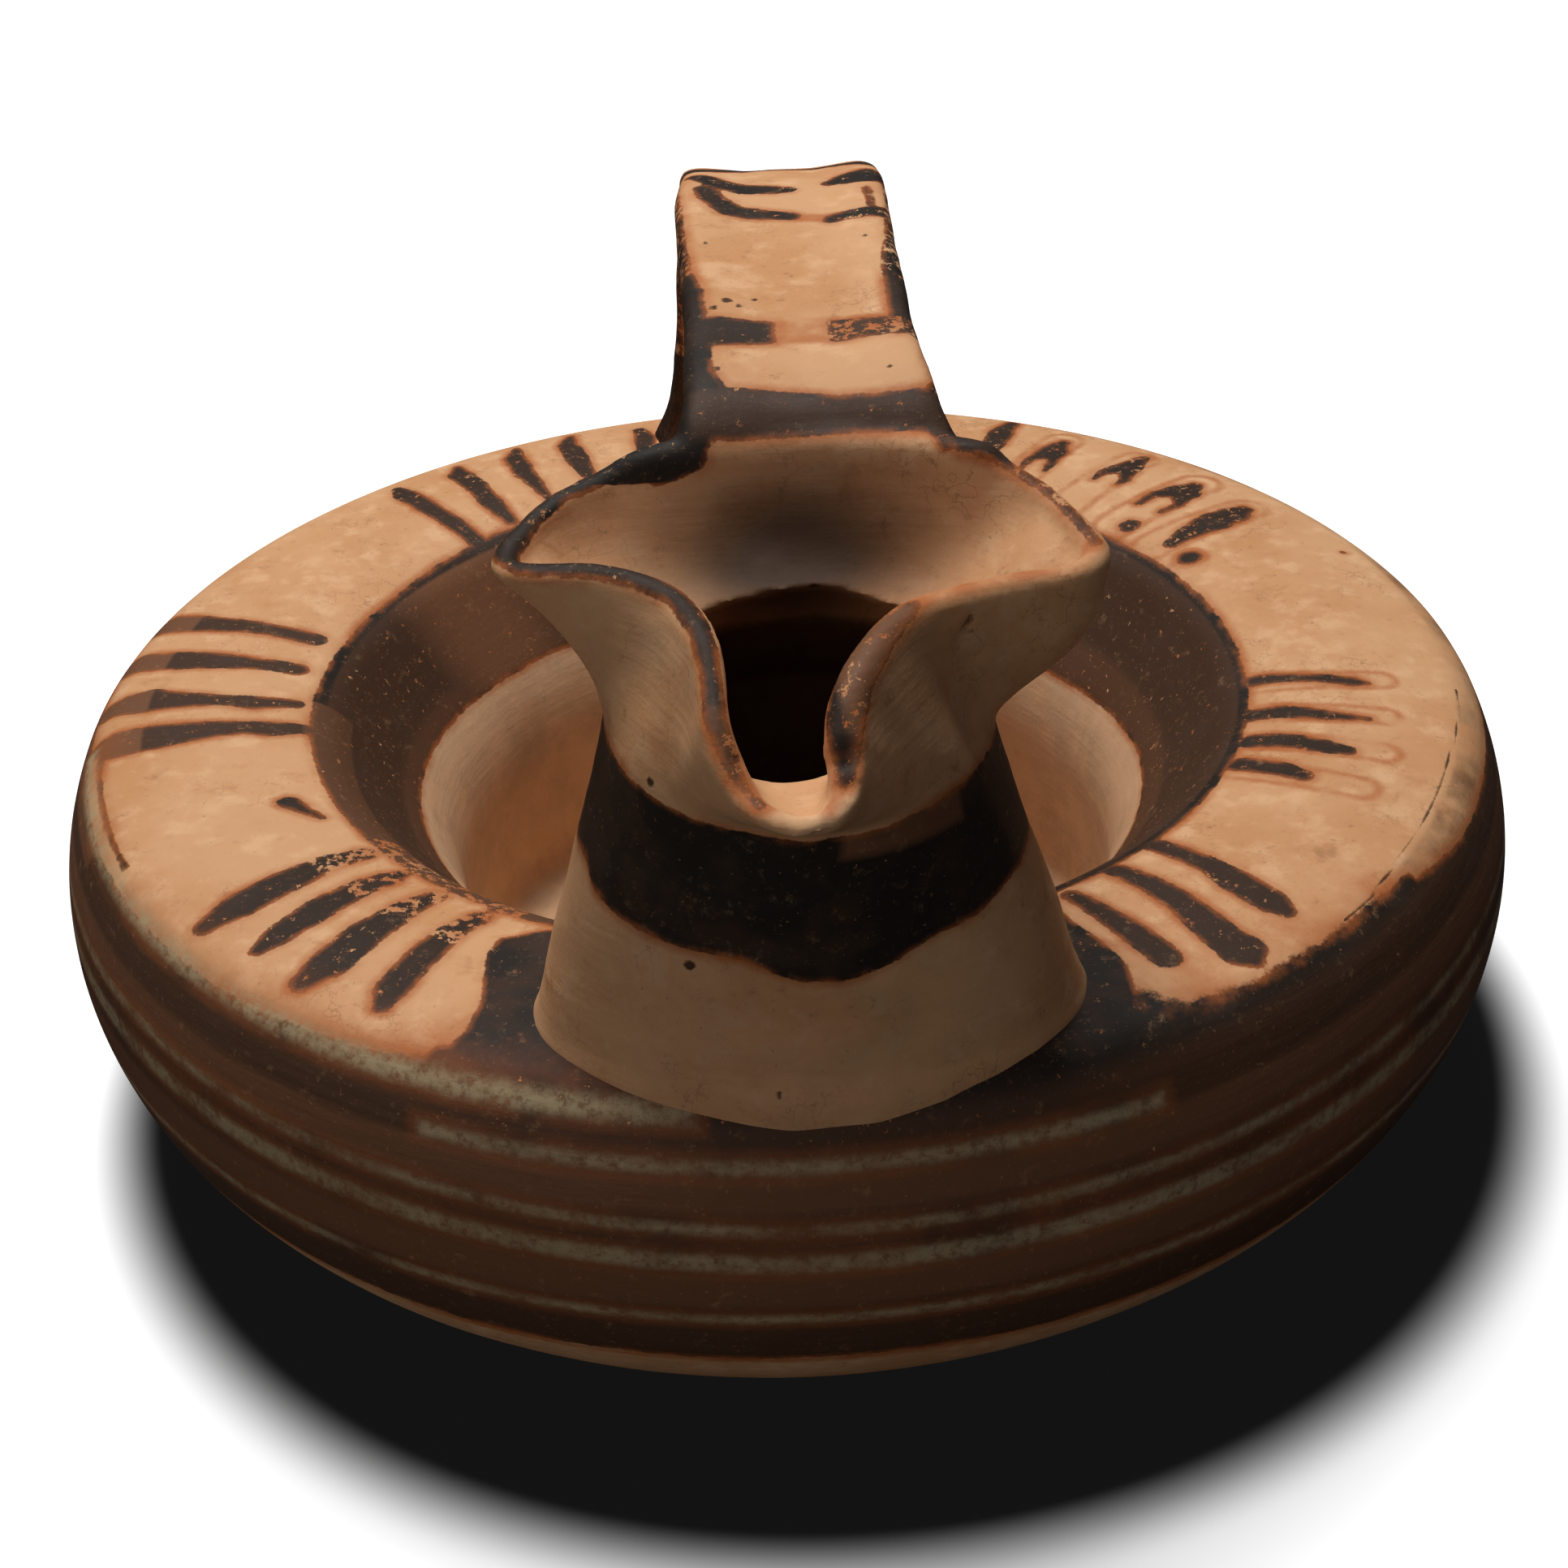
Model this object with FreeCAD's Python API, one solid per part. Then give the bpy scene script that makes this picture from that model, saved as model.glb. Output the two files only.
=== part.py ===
import FreeCAD, Part
import math
import os

# A ring askos: a hollow ring of fired clay round a closed well, with a neck, a trefoil mouth
# and a strap handle that crosses the well. Millimetres. The origin is the centre of the flat
# underside, +Z is up and the spout looks along -Y.

V = FreeCAD.Vector

# Ring body: radii from the ring's axis and heights above the table
belly_radius = 75.0
belly_height = 29.0
shoulder_inset = 4.5
shoulder_height = 44.3
shoulder_round = 2.2
underside_inset = 33.0
body_wall = 5.0
shoulder_radius = belly_radius - shoulder_inset
base_radius = belly_radius - underside_inset

# Well in the middle of the ring, inside a top of one width
ring_top_width = 23.1
well_edge_height = 43.9
well_edge_round = 2.6
well_bend_height = 28.2
well_bend_round = 15.0
well_slope_width = 12.4
floor_thickness = 6.0
well_edge_radius = shoulder_radius - ring_top_width
well_foot_radius = well_edge_radius - well_slope_width

# Closing plate on top of the ring, between the well's rim and the seam coil
plate_crown = 1.2
plate_thickness = 3.8
well_rim_width = 4.6
seam_coil_width = 3.5
throat_hole_width = 26.0
throat_hole_depth = 11.0
plate_inner_radius = well_edge_radius + well_rim_width
plate_outer_radius = shoulder_radius - seam_coil_width

# Neck: an oval foot bent along the ring, which turns into a round waist
neck_rim_distance = 12.0
neck_ring_radius = well_edge_radius + neck_rim_distance
neck_foot_width = 46.6
neck_foot_depth = 24.6
neck_foot_wall = 5.6
neck_coil_height = 5.8
neck_waist_radius = 15.5
neck_waist_height = 71.0
neck_waist_setback = 1.4
neck_wall = 3.5
neck_flare_shares = ((0.0, 0.0), (0.22, 0.18), (0.48, 0.45), (0.74, 0.755), (1.0, 1.0))
section_points = 24

# Trefoil mouth above the waist
mouth_width = 47.0
mouth_height = 14.0
mouth_back_reach = 15.0
mouth_wall = 2.8
lip_reach = 24.0
lip_floor_wall = 5.2
lip_corner_shares = (0.72, 0.35)
gutter_width = 10.6
gutter_drift = -1.3
gutter_drift_steps = ((0, 1.0), (2, 1.0), (6, 0.0))
throat_pinch = 0.29
# Half of the rim's outline behind the gutter: across as a share of half the mouth's width,
# forward as a share of the reach behind the waist's axis
rim_outline_shares = (
    (0.312, 0.66), (0.400, 0.39), (0.536, 0.26), (0.706, 0.14), (0.860, 0.127), (1.0, -0.12),
    (0.912, -0.44), (0.795, -0.68), (0.635, -0.82), (0.476, -0.87), (0.236, -0.93), (0.0, -0.96),
)
# Where the gutter's four points and those of the outline leave the round waist: half turns
waist_turn_shares = (
    0.0, 0.09, 0.17, 0.215, 0.25, 0.31, 0.37, 0.43, 0.485, 0.54, 0.60, 0.68, 0.75, 0.815, 0.905, 1.0,
)
# Levels of the outside, the bowl and the throat: height, spread of the rim, shape of the
# gutter, reach of the lip, pinch of the throat's back
outside_level_shares = (
    (0.0, 0.0, 0.0, 0.0, 0.0), (0.18, 0.04, 0.45, 0.42, 0.0), (0.40, 0.17, 1.0, 1.0, 0.0),
    (0.64, 0.42, 1.0, 1.30, 0.0), (1.0, 1.0, 1.0, 1.55, 0.0), (1.38, 1.75, 1.0, 1.75, 0.0),
)
bowl_level_shares = (
    (0.54, 0.0, 1.0, 1.18, 0.0), (0.64, 0.34, 1.0, 1.30, 0.0), (0.80, 0.70, 1.0, 1.42, 0.0),
    (1.0, 1.0, 1.0, 1.55, 0.0), (1.38, 1.75, 1.0, 1.75, 0.0),
)
throat_level_shares = (
    (0.0, 0.0, 0.0, 0.0, 0.0), (0.18, 0.0, 0.45, 0.42, 0.3), (0.40, 0.0, 1.0, 1.0, 0.8),
    (0.60, 0.0, 1.0, 1.25, 1.0),
)
# The rim's edge from the lip to the back: forward as a share of the lip's reach, and height
rim_edge_shares = (
    (1.30, 0.36), (1.0, 0.40), (0.88, 0.45), (0.78, 0.55), (0.70, 0.76), (0.5625, 0.86),
    (0.39, 0.93), (0.196, 0.965), (0.0, 1.0), (-0.15, 0.985), (-0.29, 1.035), (-0.41, 1.09), (-0.50, 1.18),
)

# Strap handle, from the back of the mouth over the well to the far side of the ring
strap_width = 20.4
strap_thickness = 5.4
strap_lean = 2.4
strap_rise = 6.5
strap_squareness = 5.0
strap_sections = 26
front_root_seat = 12.0
front_root_spread = 38.0
front_root_width = 24.4
front_root_height = 4.2
rear_root_distance = 10.2
rear_root_radius = well_edge_radius + rear_root_distance
rear_root_rise = 5.7
rear_root_spread = 30.0
rear_root_depth = 15.0
root_seat_share = 0.857
# The strap's middle line: share of the way to the crest and share of the rise
strap_rise_shares = (
    (0.0, 0.0), (0.014, 0.22), (0.058, 0.42), (0.122, 0.547), (0.238, 0.656), (0.376, 0.766),
    (0.515, 0.859), (0.654, 0.922), (0.815, 0.984), (1.0, 1.0),
)
# Share of the way from the crest to the rear root and share of the drop
strap_fall_shares = (
    (0.087, 0.011), (0.24, 0.069), (0.411, 0.156), (0.595, 0.30), (0.764, 0.50), (0.90, 0.735), (1.0, 1.0),
)
strap_width_shares = ((0.0, 1.196), (0.03, 1.09), (0.07, 1.03), (0.14, 1.0), (1.0, 1.0))
strap_lean_shares = ((0.0, 1.0), (0.5, 1.0), (1.0, 0.0))
# Levels of the roots: share of the way to the strap, share of the strap's lean, share of the flare
front_root_shares = ((0.0, 0.5, 1.0), (0.5, 0.8, 0.333), (1.0, 1.0, 0.0))
rear_root_shares = ((0.0, 1.0), (0.5, 0.25), (1.0, 0.0))

# One overrun serves every cut
overrun = 8.0


def at(radius, height):
    """A point of a turned profile."""
    return V(radius, 0, height)


def line(start, end):
    return Part.LineSegment(start, end).toShape()


def turned(edges):
    """The solid that a closed profile sweeps round the ring's axis."""
    return Part.Face(Part.Wire(edges)).revolve(V(0, 0, 0), V(0, 0, 1), 360)


def turned_polygon(corners):
    points = [at(radius, height) for radius, height in corners]
    return turned([line(a, b) for a, b in zip(points, points[1:] + points[:1])])


def between(value, table):
    """The value that a table of shares gives between its rows."""
    for (low, first), (high, second) in zip(table, table[1:]):
        if value <= high:
            return first + (second - first) * (value - low) / (high - low)
    return table[-1][1]


def closed_wire(points):
    curve = Part.BSplineCurve()
    steps = [float(step) for step in range(len(points) + 1)]
    curve.interpolate(Points=points, PeriodicFlag=True, Parameters=steps)
    return Part.Wire([curve.toShape()])


def loft(wires):
    return Part.makeLoft(wires, True, False)


def slab(bottom, top):
    """A block wider than the vessel between two heights."""
    side = belly_radius + overrun
    return Part.makeBox(2 * side, 2 * side, top - bottom, V(-side, -side, bottom))


# Ring body


def lower_arc(across, up):
    """The lower wall's quarter ellipse, from the belly down to the underside."""
    centre = at(base_radius, belly_height)
    side = at(base_radius + across, belly_height)
    foot = at(base_radius, belly_height - up)
    ellipse = Part.Ellipse(side, foot, centre) if across >= up else Part.Ellipse(foot, side, centre)
    return Part.ArcOfEllipse(ellipse, 0, math.pi / 2).toShape()


def upper_arc(inset, top):
    """The wall's arc from the belly up to a height, and its end, moved inwards by the inset."""
    rise = shoulder_height - belly_height
    drop = belly_radius - shoulder_radius
    outer_radius = (rise ** 2 + drop ** 2) / (2 * drop)
    centre = belly_radius - outer_radius
    radius = outer_radius - inset
    turn = math.asin((top - belly_height) / radius)
    end = at(centre + radius * math.cos(turn), top)
    middle = at(centre + radius * math.cos(turn / 2), belly_height + radius * math.sin(turn / 2))
    return Part.Arc(at(belly_radius - inset, belly_height), middle, end).toShape(), end


def well_slope():
    """The sloping part of the well's wall: its lowest point and its direction."""
    bend = at(well_foot_radius, well_bend_height)
    return bend, (at(well_edge_radius, well_edge_height) - bend).normalize()


def is_ring(edge, corner):
    """Whether an edge is the circle that a profile's corner sweeps."""
    box = edge.BoundBox
    near = body_wall / 100
    level = abs(box.ZMin - corner.z) < near and abs(box.ZMax - corner.z) < near
    return level and abs(box.XMax - corner.x) < near


def make_envelope():
    """Everything inside the ring's outer skin, with the well left open."""
    side, shoulder = upper_arc(0, shoulder_height)
    edge = at(well_edge_radius, well_edge_height)
    crown = at((shoulder_radius + well_edge_radius) / 2, (shoulder_height + well_edge_height) / 2 + plate_crown)
    bend, slope = well_slope()
    half_turn = math.acos(slope.z) / 2
    run = well_bend_round * math.tan(half_turn)
    bend_low = bend - V(0, 0, run)
    bend_high = bend + slope * run
    inwards = (slope - V(0, 0, 1)).normalize()
    middle = bend + inwards * (well_bend_round / math.cos(half_turn) - well_bend_round)
    well_foot = at(well_foot_radius, floor_thickness)
    solid = turned([
        line(at(0, 0), at(base_radius, 0)),
        lower_arc(belly_radius - base_radius, belly_height),
        side,
        Part.Arc(shoulder, crown, edge).toShape(),
        line(edge, bend_high),
        Part.Arc(bend_high, middle, bend_low).toShape(),
        line(bend_low, well_foot),
        line(well_foot, at(0, floor_thickness)),
        line(at(0, floor_thickness), at(0, 0)),
    ])
    for corner, size in ((shoulder, shoulder_round), (edge, well_edge_round)):
        solid = solid.makeFillet(size, [ring for ring in solid.Edges if is_ring(ring, corner)])
    return solid


def make_channel(seam_height):
    """The hollow that runs round inside the ring, under the closing plate."""
    side, side_top = upper_arc(body_wall, seam_height)
    bend, slope = well_slope()
    low = bend + V(slope.z, 0, -slope.x) * body_wall
    knee = low + slope * ((well_foot_radius + body_wall - low.x) / slope.x)
    top = low + slope * ((seam_height - low.z) / slope.z)
    foot = at(well_foot_radius + body_wall, body_wall)
    return turned([
        line(foot, at(base_radius, body_wall)),
        lower_arc(belly_radius - base_radius - body_wall, belly_height - body_wall),
        side,
        line(side_top, top),
        line(top, knee),
        line(knee, foot),
    ])


def make_ring_body(envelope):
    """The thrown and joined pieces of the ring, cut from one skin so that they meet exactly."""
    seam_height = well_edge_height - plate_thickness + plate_crown / 2
    clay = envelope.cut(make_channel(seam_height))
    outside = belly_radius + overrun
    above = shoulder_height + overrun
    foot = well_foot_radius + body_wall
    middle = (well_foot_radius + belly_radius) / 2
    floor = clay.common(Part.makeCylinder(foot, floor_thickness))
    bowl = clay.common(turned_polygon([
        (foot, 0), (outside, 0), (outside, seam_height), (plate_inner_radius, seam_height),
        (middle, belly_height), (foot, body_wall),
    ]))
    plate = clay.common(turned_polygon([
        (plate_inner_radius, seam_height), (plate_outer_radius, seam_height),
        (plate_outer_radius, above), (plate_inner_radius, above),
    ]))
    coil = clay.common(turned_polygon([
        (plate_outer_radius, seam_height), (outside, seam_height), (outside, above), (plate_outer_radius, above),
    ]))
    well = clay.cut([floor, bowl, plate, coil])
    hole = Part.Wire([oval(seam_height - overrun, throat_hole_width / 2, throat_hole_depth / 2,
                           neck_ring_radius, 1)])
    plate = plate.cut(Part.Face(hole).extrude(V(0, 0, 2 * overrun)))
    return {"outer_bowl": bowl, "well_floor": floor, "well_wall": well,
            "shoulder_plate": plate, "shoulder_coil": coil}


# Neck


def oval(height, half_width, half_depth, centre, bend):
    """An oval at the spout's side of the ring, bent along the ring by a share."""
    points = []
    for step in range(section_points):
        turn = 2 * math.pi * step / section_points
        along = half_width * math.cos(turn)
        out = centre + half_depth * math.sin(turn)
        straight = V(along, -out, height)
        bent = V(out * math.sin(along / centre), -out * math.cos(along / centre), height)
        points.append(straight + (bent - straight) * bend)
    return closed_wire(points)


def neck_loft(foot_inset, waist_inset):
    """The neck's oval tube, moved inwards by a wall at the foot and at the waist."""
    wires = []
    rise = neck_waist_height - shoulder_height
    for height_share, flare_share in ((-overrun / rise, 0.0),) + neck_flare_shares:
        def blend(foot, waist):
            return foot + (waist - foot) * flare_share
        wires.append(oval(
            shoulder_height + rise * height_share,
            blend(neck_foot_width / 2 - foot_inset, neck_waist_radius - waist_inset),
            blend(neck_foot_depth / 2 - foot_inset, neck_waist_radius - waist_inset),
            neck_ring_radius - neck_waist_setback * flare_share,
            1 - flare_share,
        ))
    return loft(wires)


def make_neck(envelope):
    """The neck and the coil of clay that lutes its foot to the ring."""
    tube = neck_loft(0, 0).cut(neck_loft(neck_foot_wall, neck_wall)).cut(envelope)
    coil_top = shoulder_height + neck_coil_height
    return {
        "neck_foot_coil": tube.common(slab(shoulder_height - overrun, coil_top)),
        "neck": tube.common(slab(coil_top, neck_waist_height)),
    }


# Mouth


def lip_targets(half_width, reach):
    """The gutter's end, a corner of it and its side, from the middle outwards."""
    corner_across, corner_drop = lip_corner_shares
    corner = (corner_across * half_width, reach - corner_drop * half_width)
    return [(0, reach), corner, (half_width, reach - half_width)]


def from_waist(targets, radius, shares):
    """Points on their way from the round waist to their targets."""
    points = []
    for (across, forward), turn_share, share in zip(targets, waist_turn_shares, shares):
        round_across = radius * math.sin(math.pi * turn_share)
        round_forward = radius * math.cos(math.pi * turn_share)
        points.append((round_across + (across - round_across) * share,
                       round_forward + (forward - round_forward) * share))
    return points


def mouth_outline(level, wall, lip_wall):
    """The mouth's outline at a level, moved inwards by a wall, as points round the waist's axis."""
    height_share, spread_share, gutter_share, lip_share, pinch_share = level
    reach = neck_waist_radius + (lip_reach - neck_waist_radius) * lip_share
    lip = lip_targets(gutter_width / 2, reach)
    outline = [(x * mouth_width / 2, y * mouth_back_reach) for x, y in rim_outline_shares]
    side = ((lip[-1][0] + outline[0][0]) / 2, (lip[-1][1] + outline[0][1]) / 2)
    shares = [gutter_share] * (len(lip) + 1) + [spread_share] * len(outline)
    half = from_waist(lip + [side] + outline, neck_waist_radius, shares)
    if wall:
        inset = neck_wall + (wall - neck_wall) * gutter_share
        moved = []
        for before, (x, y), after in zip(half, half[1:], half[2:]):
            outwards = V(before[1] - after[1], after[0] - before[0], 0).normalize()
            moved.append((x - inset * outwards.x, y - inset * outwards.y))
        inner_lip = lip_targets(gutter_width / 2 - wall, reach - lip_wall)
        inner_lip = from_waist(inner_lip, neck_waist_radius - neck_wall, shares)
        back = half[-1][1] + inset
        half = inner_lip + moved[len(lip) - 1:] + [(0, back)]
    height = neck_waist_height + mouth_height * height_share
    axis = neck_ring_radius - neck_waist_setback
    right, left = [], []
    for index, (x, y) in enumerate(half):
        drift = gutter_drift * gutter_share * between(index, gutter_drift_steps)
        forward = y if y > 0 else y * (1 - throat_pinch * pinch_share)
        right.append(V(drift + x, -axis - forward, height))
        left.append(V(drift - x, -axis - forward, height))
    return right + left[-2:0:-1]


def mouth_loft(levels, inset_wall, inset_lip):
    return loft([closed_wire(mouth_outline(level, inset_wall, inset_lip)) for level in levels])


def rim_edge_point(forward, height):
    return V(0, -(neck_ring_radius - neck_waist_setback) - forward, neck_waist_height + height)


def make_mouth():
    """The trefoil mouth: two wings and a gutter in front, cut off along its rim."""
    rim = [rim_edge_point(lip_reach * f, mouth_height * h) for f, h in rim_edge_shares]
    curve = Part.BSplineCurve()
    curve.interpolate(rim)
    seat = root_seat_share * mouth_height
    seat_front = rim_edge_point(-front_root_seat, seat)
    seat_back = rim_edge_point(-mouth_back_reach - overrun, seat)
    above = mouth_height + 2 * overrun
    front = lip_reach + 2 * overrun
    corners = [rim[-1], seat_front, seat_back, rim_edge_point(-mouth_back_reach - overrun, above),
               rim_edge_point(front, above), rim_edge_point(front, mouth_height * rim_edge_shares[0][1]), rim[0]]
    edges = [curve.toShape()] + [line(a, b) for a, b in zip(corners, corners[1:])]
    waste = Part.Face(Part.Wire(edges)).extrude(V(2 * mouth_width, 0, 0))
    waste.translate(V(-mouth_width, 0, 0))
    body = mouth_loft(outside_level_shares, 0, 0)
    for levels in (bowl_level_shares, throat_level_shares):
        body = body.cut(mouth_loft(levels, mouth_wall, lip_floor_wall))
    return {"trefoil_mouth": body.cut(waste)}


# Handle


def strap_section(centre, along, width, thickness):
    """A rounded rectangle across the strap, square to its middle line."""
    across = V(1, 0, 0)
    up = along.cross(across).normalize()
    points = []
    for step in range(section_points):
        turn = 2 * math.pi * (step + 0.5) / section_points
        side = math.copysign(abs(math.cos(turn)) ** (2 / strap_squareness), math.cos(turn))
        rise = math.copysign(abs(math.sin(turn)) ** (2 / strap_squareness), math.sin(turn))
        points.append(centre + across * (side * width / 2) + up * (rise * thickness / 2))
    return closed_wire(points)


def strap_ends():
    """Where the strap's middle line starts on the front root and ends on the rear root."""
    axis = neck_ring_radius - neck_waist_setback
    seat = neck_waist_height + root_seat_share * mouth_height
    start = V(0, -axis + front_root_seat + strap_thickness / 2, seat + front_root_height)
    return start, V(0, rear_root_radius, shoulder_height + rear_root_rise)


def strap_line():
    """Points of the strap's middle line, with the way travelled as a share."""
    start, end = strap_ends()
    crest = V(0, 0, start.z + strap_rise)
    points = [start + V(0, (crest.y - start.y) * y, (crest.z - start.z) * z) for y, z in strap_rise_shares]
    points += [crest + V(0, (end.y - crest.y) * y, (end.z - crest.z) * z) for y, z in strap_fall_shares]
    return points


def make_handle(envelope):
    """The strap and the two lumps of clay that root it."""
    points = strap_line()
    start, end = points[0], points[-1]
    curve = Part.BSplineCurve()
    curve.interpolate(points)
    middles = curve.discretize(Number=strap_sections)
    directions = [V(*curve.tangent(curve.parameter(point))[0]) for point in middles]
    directions[0], directions[-1] = V(0, 0, 1), V(0, 0, -1)
    wires = []
    for point, along in zip(middles, directions):
        way = (point.y - start.y) / (end.y - start.y)
        lean = V(strap_lean * between(way, strap_lean_shares), 0, 0)
        width = strap_width * between(way, strap_width_shares)
        wires.append(strap_section(point + lean, along, width, strap_thickness))
    strap = loft(wires)

    front_sections = []
    for way_share, lean_share, flare_share in front_root_shares:
        centre = start + V(strap_lean * lean_share, 0, front_root_height * (way_share - 1))
        width = front_root_width + (front_root_spread - front_root_width) * flare_share
        front_sections.append(strap_section(centre, V(0, 0, 1), width, strap_thickness))
    front = loft(front_sections)

    ground = V(0, rear_root_radius, shoulder_height + plate_crown)
    below = ground - V(0, 0, overrun)
    rear_sections = [strap_section(below, V(0, 0, -1), rear_root_spread, rear_root_depth)]
    for way_share, flare_share in rear_root_shares:
        centre = ground + (end - ground) * way_share
        width = strap_width + (rear_root_spread - strap_width) * flare_share
        depth = strap_thickness + (rear_root_depth - strap_thickness) * flare_share
        rear_sections.append(strap_section(centre, V(0, 0, -1), width, depth))
    rear = loft(rear_sections).cut(envelope)
    return {"strap_handle": strap, "handle_front_root": front, "handle_rear_root": rear}


def export(node, shape):
    shape = shape.removeSplitter()
    shape.exportStep("parts/" + node + ".step")
    box = shape.BoundBox
    corners = [round(value, 1) for value in (box.XMin, box.YMin, box.ZMin, box.XMax, box.YMax, box.ZMax)]
    print(node, "solids", len(shape.Solids), "valid", shape.isValid(), "mm3", round(shape.Volume), corners)


def main():
    os.makedirs("parts", exist_ok=True)
    envelope = make_envelope()
    pieces = {}
    pieces.update(make_ring_body(envelope))
    pieces.update(make_neck(envelope))
    pieces.update(make_mouth())
    pieces.update(make_handle(envelope))
    for node, shape in pieces.items():
        export(node, shape)


main()
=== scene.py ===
"""Looks of a ring askos: a hollow clay ring round a closed well, with a trefoil spout and a strap handle."""

import logging
import math
from collections.abc import Sequence
from dataclasses import dataclass
from enum import Enum

import bpy
import numpy as np
from mathutils import Matrix, Vector


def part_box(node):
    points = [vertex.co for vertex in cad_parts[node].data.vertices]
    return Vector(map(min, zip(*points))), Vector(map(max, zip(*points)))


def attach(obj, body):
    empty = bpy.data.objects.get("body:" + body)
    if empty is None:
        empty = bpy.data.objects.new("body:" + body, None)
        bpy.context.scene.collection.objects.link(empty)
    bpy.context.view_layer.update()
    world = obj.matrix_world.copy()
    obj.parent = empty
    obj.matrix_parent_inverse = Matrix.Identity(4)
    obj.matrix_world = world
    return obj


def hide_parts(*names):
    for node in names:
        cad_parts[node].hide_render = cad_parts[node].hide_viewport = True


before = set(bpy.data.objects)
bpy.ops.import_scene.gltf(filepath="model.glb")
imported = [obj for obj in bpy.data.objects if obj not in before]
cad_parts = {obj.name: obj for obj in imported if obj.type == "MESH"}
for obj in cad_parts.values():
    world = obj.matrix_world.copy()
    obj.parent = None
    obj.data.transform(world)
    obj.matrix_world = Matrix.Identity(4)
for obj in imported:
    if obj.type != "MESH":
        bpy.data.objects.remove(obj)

# Sizes are millimetres until a mesh is made, and angles are degrees.
# +X is right of a viewer who faces the spout, the spout looks along -Y and +Z is up.
MM = 0.001
TURN = 360.0
# A depth that stands for well outside an area, and a number too small to matter
FAR = -99.0
TINY = 1e-9
# The depths between which wear, brown or dirt comes in at the edge of each kind of area
BAND_SOFT = (-0.5, 0.5)
FAN_SOFT = (-1.0, 0.0)
RIM_SOFT = (-0.8, 0.2)
FACE_SOFT = (-0.6, 0.2)
BAR_BROWN_SOFT = (-0.2, 0.8)
SOIL_SOFT = (-0.3, 0.5)
WASH_SOFT = (-0.3, 0.6)
log = logging.getLogger("ring_askos")

Table = Sequence[tuple[float, ...]]


# Numbers and curves

def ease(values: np.ndarray, start: float, end: float) -> np.ndarray:
    """Rises smoothly from 0 at start to 1 at end.

    Args:
        values: The numbers that are read.
        start: Where the rise starts.
        end: Where it is full.

    Returns:
        A number from 0 to 1 for each value.
    """
    share = np.clip((values - start) / (end - start), 0.0, 1.0)
    return share * share * (3.0 - 2.0 * share)


def looked_up(values: np.ndarray, table: Table, column: int = 1, period: float | None = None) -> np.ndarray:
    """Reads one column of a table at the given values of its first column.

    Args:
        values: Where the table is read.
        table: Rows whose first number rises.
        column: The column that is read.
        period: The length after which the first column starts again, if it does.

    Returns:
        One number for each value.
    """
    return np.interp(values, [row[0] for row in table], [row[column] for row in table], period=period)


def around(points: np.ndarray, per_span: int) -> np.ndarray:
    """Rounds a closed loop of stations off into a smooth curve.

    Args:
        points: The stations, one row each.
        per_span: How many points stand for each span.

    Returns:
        The curve's points, the first station first.
    """
    count = len(points)
    weights = 4.0 * np.eye(count) + np.roll(np.eye(count), 1, 0) + np.roll(np.eye(count), -1, 0)
    slopes = np.linalg.solve(weights, 3.0 * (np.roll(points, -1, 0) - np.roll(points, 1, 0)))
    return hermite(points, np.roll(points, -1, 0), slopes, np.roll(slopes, -1, 0), per_span)


def along(points: np.ndarray, per_span: int) -> np.ndarray:
    """Rounds an open row of stations off into a smooth curve.

    Args:
        points: The stations, one row each.
        per_span: How many points stand for each span.

    Returns:
        The curve's points, the first and the last station included.
    """
    slopes = np.gradient(points, axis=0)
    curve = hermite(points[:-1], points[1:], slopes[:-1], slopes[1:], per_span)
    return np.vstack([curve, points[-1:]])


def hermite(starts: np.ndarray, ends: np.ndarray, leave: np.ndarray, arrive: np.ndarray,
            steps: int) -> np.ndarray:
    """Cubic spans between stations.

    Args:
        starts: Where each span starts.
        ends: Where it ends.
        leave: Its direction at the start.
        arrive: Its direction at the end.
        steps: How many points stand for each span.

    Returns:
        All the points, one row each.
    """
    share = (np.arange(steps) / steps)[None, :, None]
    square, cube = share ** 2, share ** 3
    spans = (
        (2 * cube - 3 * square + 1) * starts[:, None]
        + (cube - 2 * square + share) * leave[:, None]
        + (3 * square - 2 * cube) * ends[:, None]
        + (cube - square) * arrive[:, None]
    )
    return spans.reshape(-1, starts.shape[1])


def polar(angle: float, radius: float) -> tuple[float, float]:
    """The place at an angle and a radius round the ring's axis."""
    return radius * math.cos(math.radians(angle)), radius * math.sin(math.radians(angle))


def stroke_depth(places: np.ndarray, line: np.ndarray, widths: np.ndarray) -> np.ndarray:
    """How deep each place lies inside a brush stroke, below zero outside it.

    Args:
        places: The places, one row each.
        line: The stroke's middle line, one row for each of its points.
        widths: The stroke's full width at each of those points.

    Returns:
        The depth in millimetres.
    """
    deepest = np.full(len(places), FAR)
    for start, end, wide, narrow in zip(line, line[1:], widths, widths[1:]):
        run = end - start
        share = np.clip((places - start) @ run / max(run @ run, TINY), 0.0, 1.0)
        gap = np.linalg.norm(places - start - share[:, None] * run, axis=1)
        deepest = np.maximum(deepest, (wide + (narrow - wide) * share) / 2 - gap)
    return deepest


def dab_depth(places: np.ndarray, middle: Sequence[float], radius: float) -> np.ndarray:
    """How deep each place lies inside a round dab, below zero outside it."""
    return radius - np.linalg.norm(places - np.array(middle), axis=1)


# Meshes

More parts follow.
